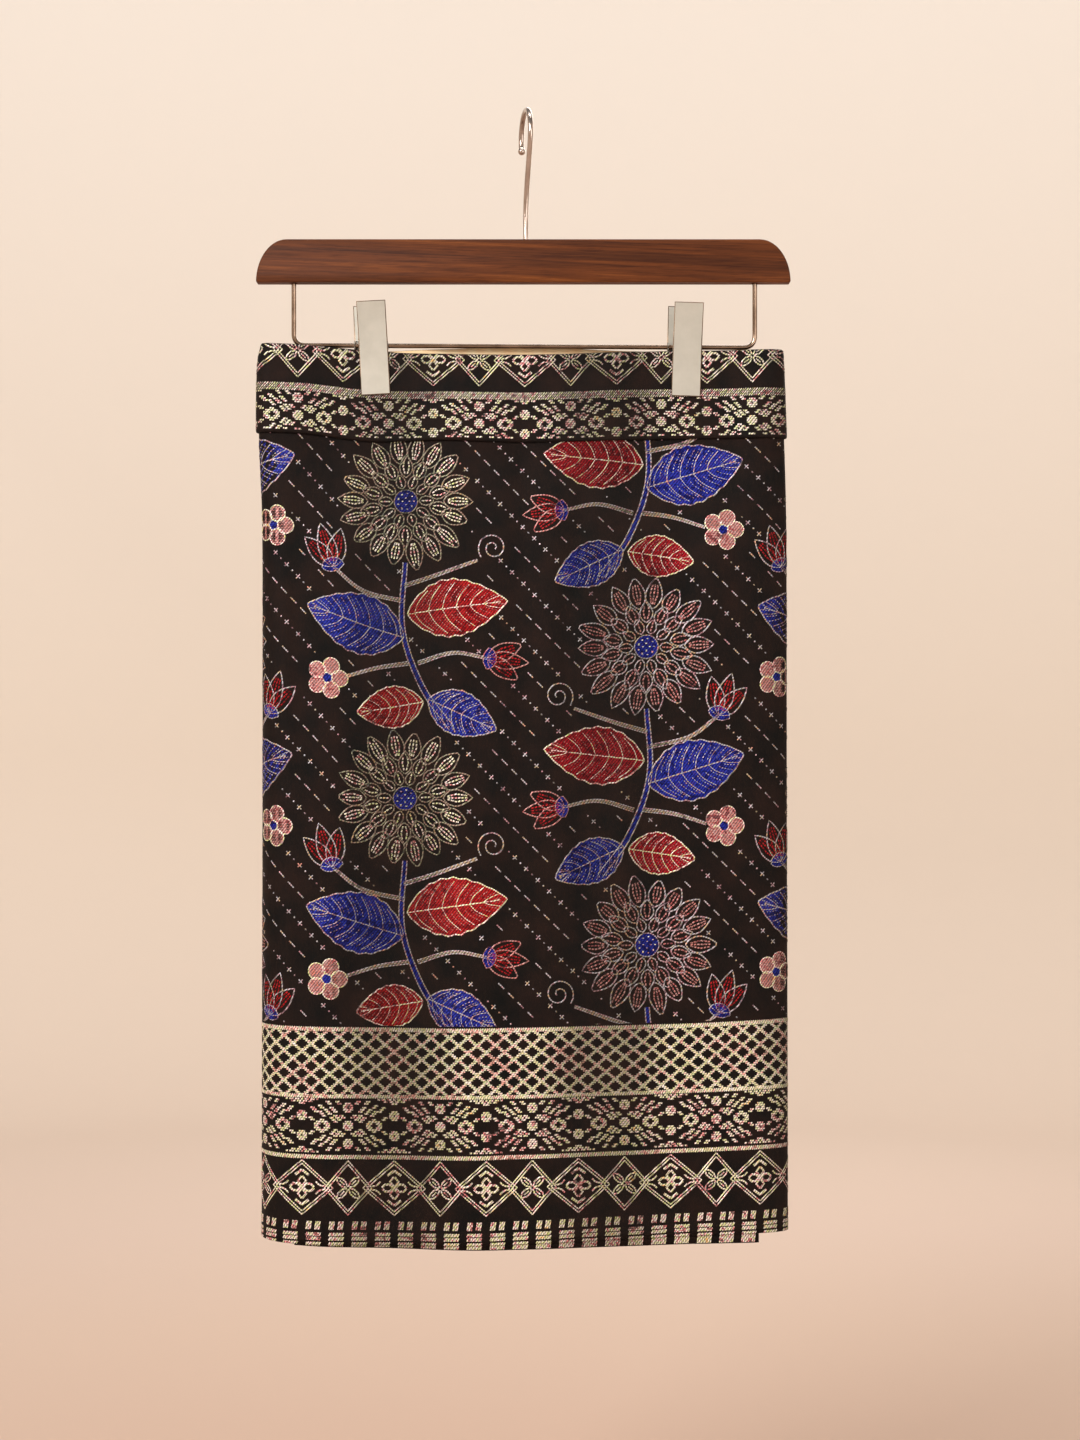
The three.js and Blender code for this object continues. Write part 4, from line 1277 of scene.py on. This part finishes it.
def bar_path():
    """Down from the wood, round a corner, across, round a corner and up again."""
    top = WOOD["top"] - WOOD["height"] + WIRE["socket"] - GAP
    corners = [np.array(p, float) for p in (
        (WIRE["left"], 0, top), (WIRE["left"], 0, WIRE["left_height"]),
        (WIRE["right"], 0, WIRE["right_height"]), (WIRE["right"], 0, top))]
    path = [corners[0]]
    for i in (1, 2):
        back, on = corners[i - 1] - corners[i], corners[i + 1] - corners[i]
        back, on = back / np.linalg.norm(back), on / np.linalg.norm(on)
        cut = WIRE["corner"] / math.tan(math.acos(float(np.dot(back, on))) / 2)
        enter, leave = corners[i] + back * cut, corners[i] + on * cut
        for t in np.linspace(0, 1, 13):
            path.append((1 - t) ** 2 * enter + 2 * t * (1 - t) * corners[i] + t * t * leave)
    path.append(corners[3])
    dense = []
    for a, b in zip(path, path[1:]):
        n = max(1, int(np.linalg.norm(b - a) / 6))
        dense += [a + (b - a) * k / n for k in range(n)]
    return np.array(dense + [path[-1]])


# the spring between a clip's ears, in mm
SPRING = dict(turns=7, wire=0.5, steps=22, room=0.6)


def spring_coil(side, x):
    """A coil round the clip bar."""
    gap = CLIP["ear"] + 3 * GAP + SPRING["room"]
    low, high = x - CLIP["width"] / 2 + gap, x + CLIP["width"] / 2 + CLIP["rear_shift"] - gap
    height = np.interp(x, [WIRE["left"], WIRE["right"]], [WIRE["left_height"], WIRE["right_height"]])
    radius = WIRE["radius"] + GAP + SPRING["wire"]
    t = np.linspace(0, 1, SPRING["turns"] * SPRING["steps"])
    turn = 2 * math.pi * SPRING["turns"] * t
    path = np.column_stack([low + (high - low) * t, radius * np.cos(turn), height + radius * np.sin(turn)])
    return sweep(f"spring_coil_{side}", path, SPRING["wire"], CHROME, 8)


def finished_copy(name, node, material, width, segments, angle=30, edge=None):
    """The node's own form with its sharp edges rounded, and those in the edge's material if it has one, which
    paints dark shade and reflection on them.
    """
    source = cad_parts[node]
    mesh = source.data.copy()
    obj = bpy.data.objects.new(name, mesh)
    bpy.context.collection.objects.link(obj)
    obj.matrix_world = source.matrix_world.copy()
    mesh.materials.clear()
    for one in (material, edge):
        if one:
            mesh.materials.append(one)
    weld = obj.modifiers.new("weld", "WELD")
    weld.merge_threshold = 1e-5
    bevel = obj.modifiers.new("bevel", "BEVEL")
    bevel.width = width * MM
    bevel.segments = segments
    bevel.limit_method = "ANGLE"
    bevel.angle_limit = math.radians(angle)
    bevel.use_clamp_overlap = True
    bevel.material = 1 if edge else -1
    bevel.harden_normals = True
    result = bpy.data.meshes.new_from_object(obj.evaluated_get(bpy.context.evaluated_depsgraph_get()))
    obj.modifiers.clear()
    obj.data = result
    result.name = name
    result.polygons.foreach_set("use_smooth", np.ones(len(result.polygons), bool))
    result.set_sharp_from_angle(angle=math.radians(40))
    return obj


def add_painted_edge_rims(obj, width):
    """A rim of painted dark shade and reflection, in the edge's material, inside the outline of each broad
    face of a plate.
    """
    cells = bmesh.new()
    cells.from_mesh(obj.data)
    for way in (-1, 1):
        broad = [f for f in cells.faces if f.normal.y * way > 0.85 and f.material_index == 0]
        painted_rim = bmesh.ops.inset_region(cells, faces=broad, thickness=width * MM, use_even_offset=False)
        for face in painted_rim["faces"]:
            face.material_index = 1
    cells.to_mesh(obj.data)
    cells.free()


hook_points, hook_radii = with_ball(catmull(hook_path()), HOOK["wire"], HOOK["ball"])
hook = sweep("hook_wire", hook_points, hook_radii, CHROME, 22)
clip_bar = sweep("clip_bar_wire", bar_path(), WIRE["radius"], BAR_STEEL)
springs = {side: spring_coil(side, x) for side, x in CLIPS.items()}
plates = {}
for side in CLIPS:
    for half in ("front", "rear"):
        node = f"clip_{side}_{half}"
        plates[node] = finished_copy(f"{node}_plate", node, PLATE, 0.5, 2, edge=PLATE_EDGE_SHADE)
        add_painted_edge_rims(plates[node], 0.55)
wood = finished_copy("wood_bar_finished", "wood_bar", WOODEN, 1.2, 3, 50)

# ---- riding and replacing ----
CLIP_NODES = list(plates.values())
BROCADE = [tube, tuck, lap, waist_threads, lap_threads, *THREAD_PIECES]
for piece in (*BROCADE, facing, hook, clip_bar, wood, *CLIP_NODES, *springs.values()):
    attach(piece, "root")
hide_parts("cloth_front", "cloth_back")
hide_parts("waistband_front", "waistband_back")
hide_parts("cloth_overlap", "cloth_overlap_hem")
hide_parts("waist_facing")
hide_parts("hook")
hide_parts("clip_bar")
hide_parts("wood_bar")
for node, piece in plates.items():
    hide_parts(node)
for side, coil in springs.items():
    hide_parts(f"clip_{side}_spring")
# the lap's flat width is taken halfway down it, and the facing's is a guess
lap_left, lap_right = grid_value(LAP, 350.0)

# ---- the stage, in metres: a floor curved up into a wall all round, with room for a camera on any side ----
FLOOR_Z, WALL_RADIUS, WALL_TOP = -1.25, 3.4, 2.6
COVE_RADIUS, COVE_STEPS, STAGE_SIDES = 0.7, 12, 96
# painted shade: over this distance out along the floor plus up the wall, the paper turns from its deepest to
# its palest tone
PAINTED_SHADE_RUN = 6.2


def stage_material():
    """Plain paper with painted shade: deeper in tone from the top of the wall down to the middle of the
    floor.
    """
    n = Nodes("backdrop_paper")
    coords = n.solid()
    height = n.add("ShaderNodeSeparateXYZ")
    n.link(coords, "Vector", height, "Vector")
    reach = n.add("ShaderNodeVectorMath", operation="LENGTH")
    n.link(n.scaled(coords, (1, 1, 0)), "Vector", reach, "Vector")
    run = n.add("ShaderNodeMath", operation="ADD")
    n.link(reach, "Value", run, 0)
    n.link(height, "Z", run, 1)
    rise = n.add("ShaderNodeMapRange", From_Min=FLOOR_Z, From_Max=FLOOR_Z + PAINTED_SHADE_RUN)
    n.link(run, "Value", rise, "Value")
    # painted shade: the paper darkens down the wall and towards the middle of the floor, the soft shadow and
    # falloff of the light under the garment
    n.colour(n.ramp(rise, "Result", [
        (0.08, srgb(187, 158, 140)), (0.2, srgb(197, 173, 156)), (0.3, srgb(204, 183, 169)),
        (0.46, srgb(214, 197, 183)), (0.67, srgb(223, 211, 198)), (0.92, srgb(232, 225, 217)),
    ]), "Color")
    n.set(Roughness=0.95)
    return n.material


def stage():
    start = WALL_RADIUS - COVE_RADIUS
    profile = [(start, FLOOR_Z)]
    for k in range(1, COVE_STEPS):
        a = math.pi / 2 * k / COVE_STEPS
        profile.append((start + COVE_RADIUS * math.sin(a), FLOOR_Z + COVE_RADIUS * (1 - math.cos(a))))
    profile += [(WALL_RADIUS, FLOOR_Z + COVE_RADIUS), (WALL_RADIUS, WALL_TOP)]
    verts = [(0, 0, FLOOR_Z / MM)]
    for r, z in profile:
        verts += [(x / MM, y / MM, z / MM) for x, y in circle((0, 0), r, STAGE_SIDES)]
    tris = [(0, 1 + k, 1 + (k + 1) % STAGE_SIDES) for k in range(STAGE_SIDES)]
    for level in range(len(profile) - 1):
        for k in range(STAGE_SIDES):
            a, b = 1 + level * STAGE_SIDES + k, 1 + level * STAGE_SIDES + (k + 1) % STAGE_SIDES
            tris += [(a, a + STAGE_SIDES, b + STAGE_SIDES), (a, b + STAGE_SIDES, b)]
    return make_object("backdrop", verts, tris, stage_material())


def area_light(name, location, target, size, power, colour):
    data = bpy.data.lights.new(name, "AREA")
    data.shape = "RECTANGLE"
    data.size, data.size_y = size
    data.energy = power
    data.color = colour
    obj = bpy.data.objects.new(name, data)
    bpy.context.collection.objects.link(obj)
    obj.location = location
    obj.rotation_euler = (Vector(target) - Vector(location)).to_track_quat("-Z", "Y").to_euler()


stage()
area_light("key", (-1.5, -2.3, 1.1), (0, 0, -0.45), (1.0, 1.0), 78, (1.0, 0.985, 0.965))
area_light("fill", (1.8, -2.1, -0.1), (0, 0, -0.5), (1.5, 1.7), 22, (1.0, 0.975, 0.95))
area_light("back", (0.6, 2.2, 1.0), (0, 0, -0.4), (1.4, 1.4), 26, (1.0, 0.97, 0.94))
area_light("wall", (0, -0.2, 2.3), (0, 3.0, 0.3), (2.4, 0.8), 60, (1.0, 0.985, 0.96))
world = bpy.data.worlds.new("studio")
bpy.context.scene.world = world
world.use_nodes = True
background = world.node_tree.nodes["Background"]
background.inputs["Color"].default_value = (1.0, 0.97, 0.945, 1)
background.inputs["Strength"].default_value = 0.3
bpy.context.scene.view_settings.view_transform = "Standard"
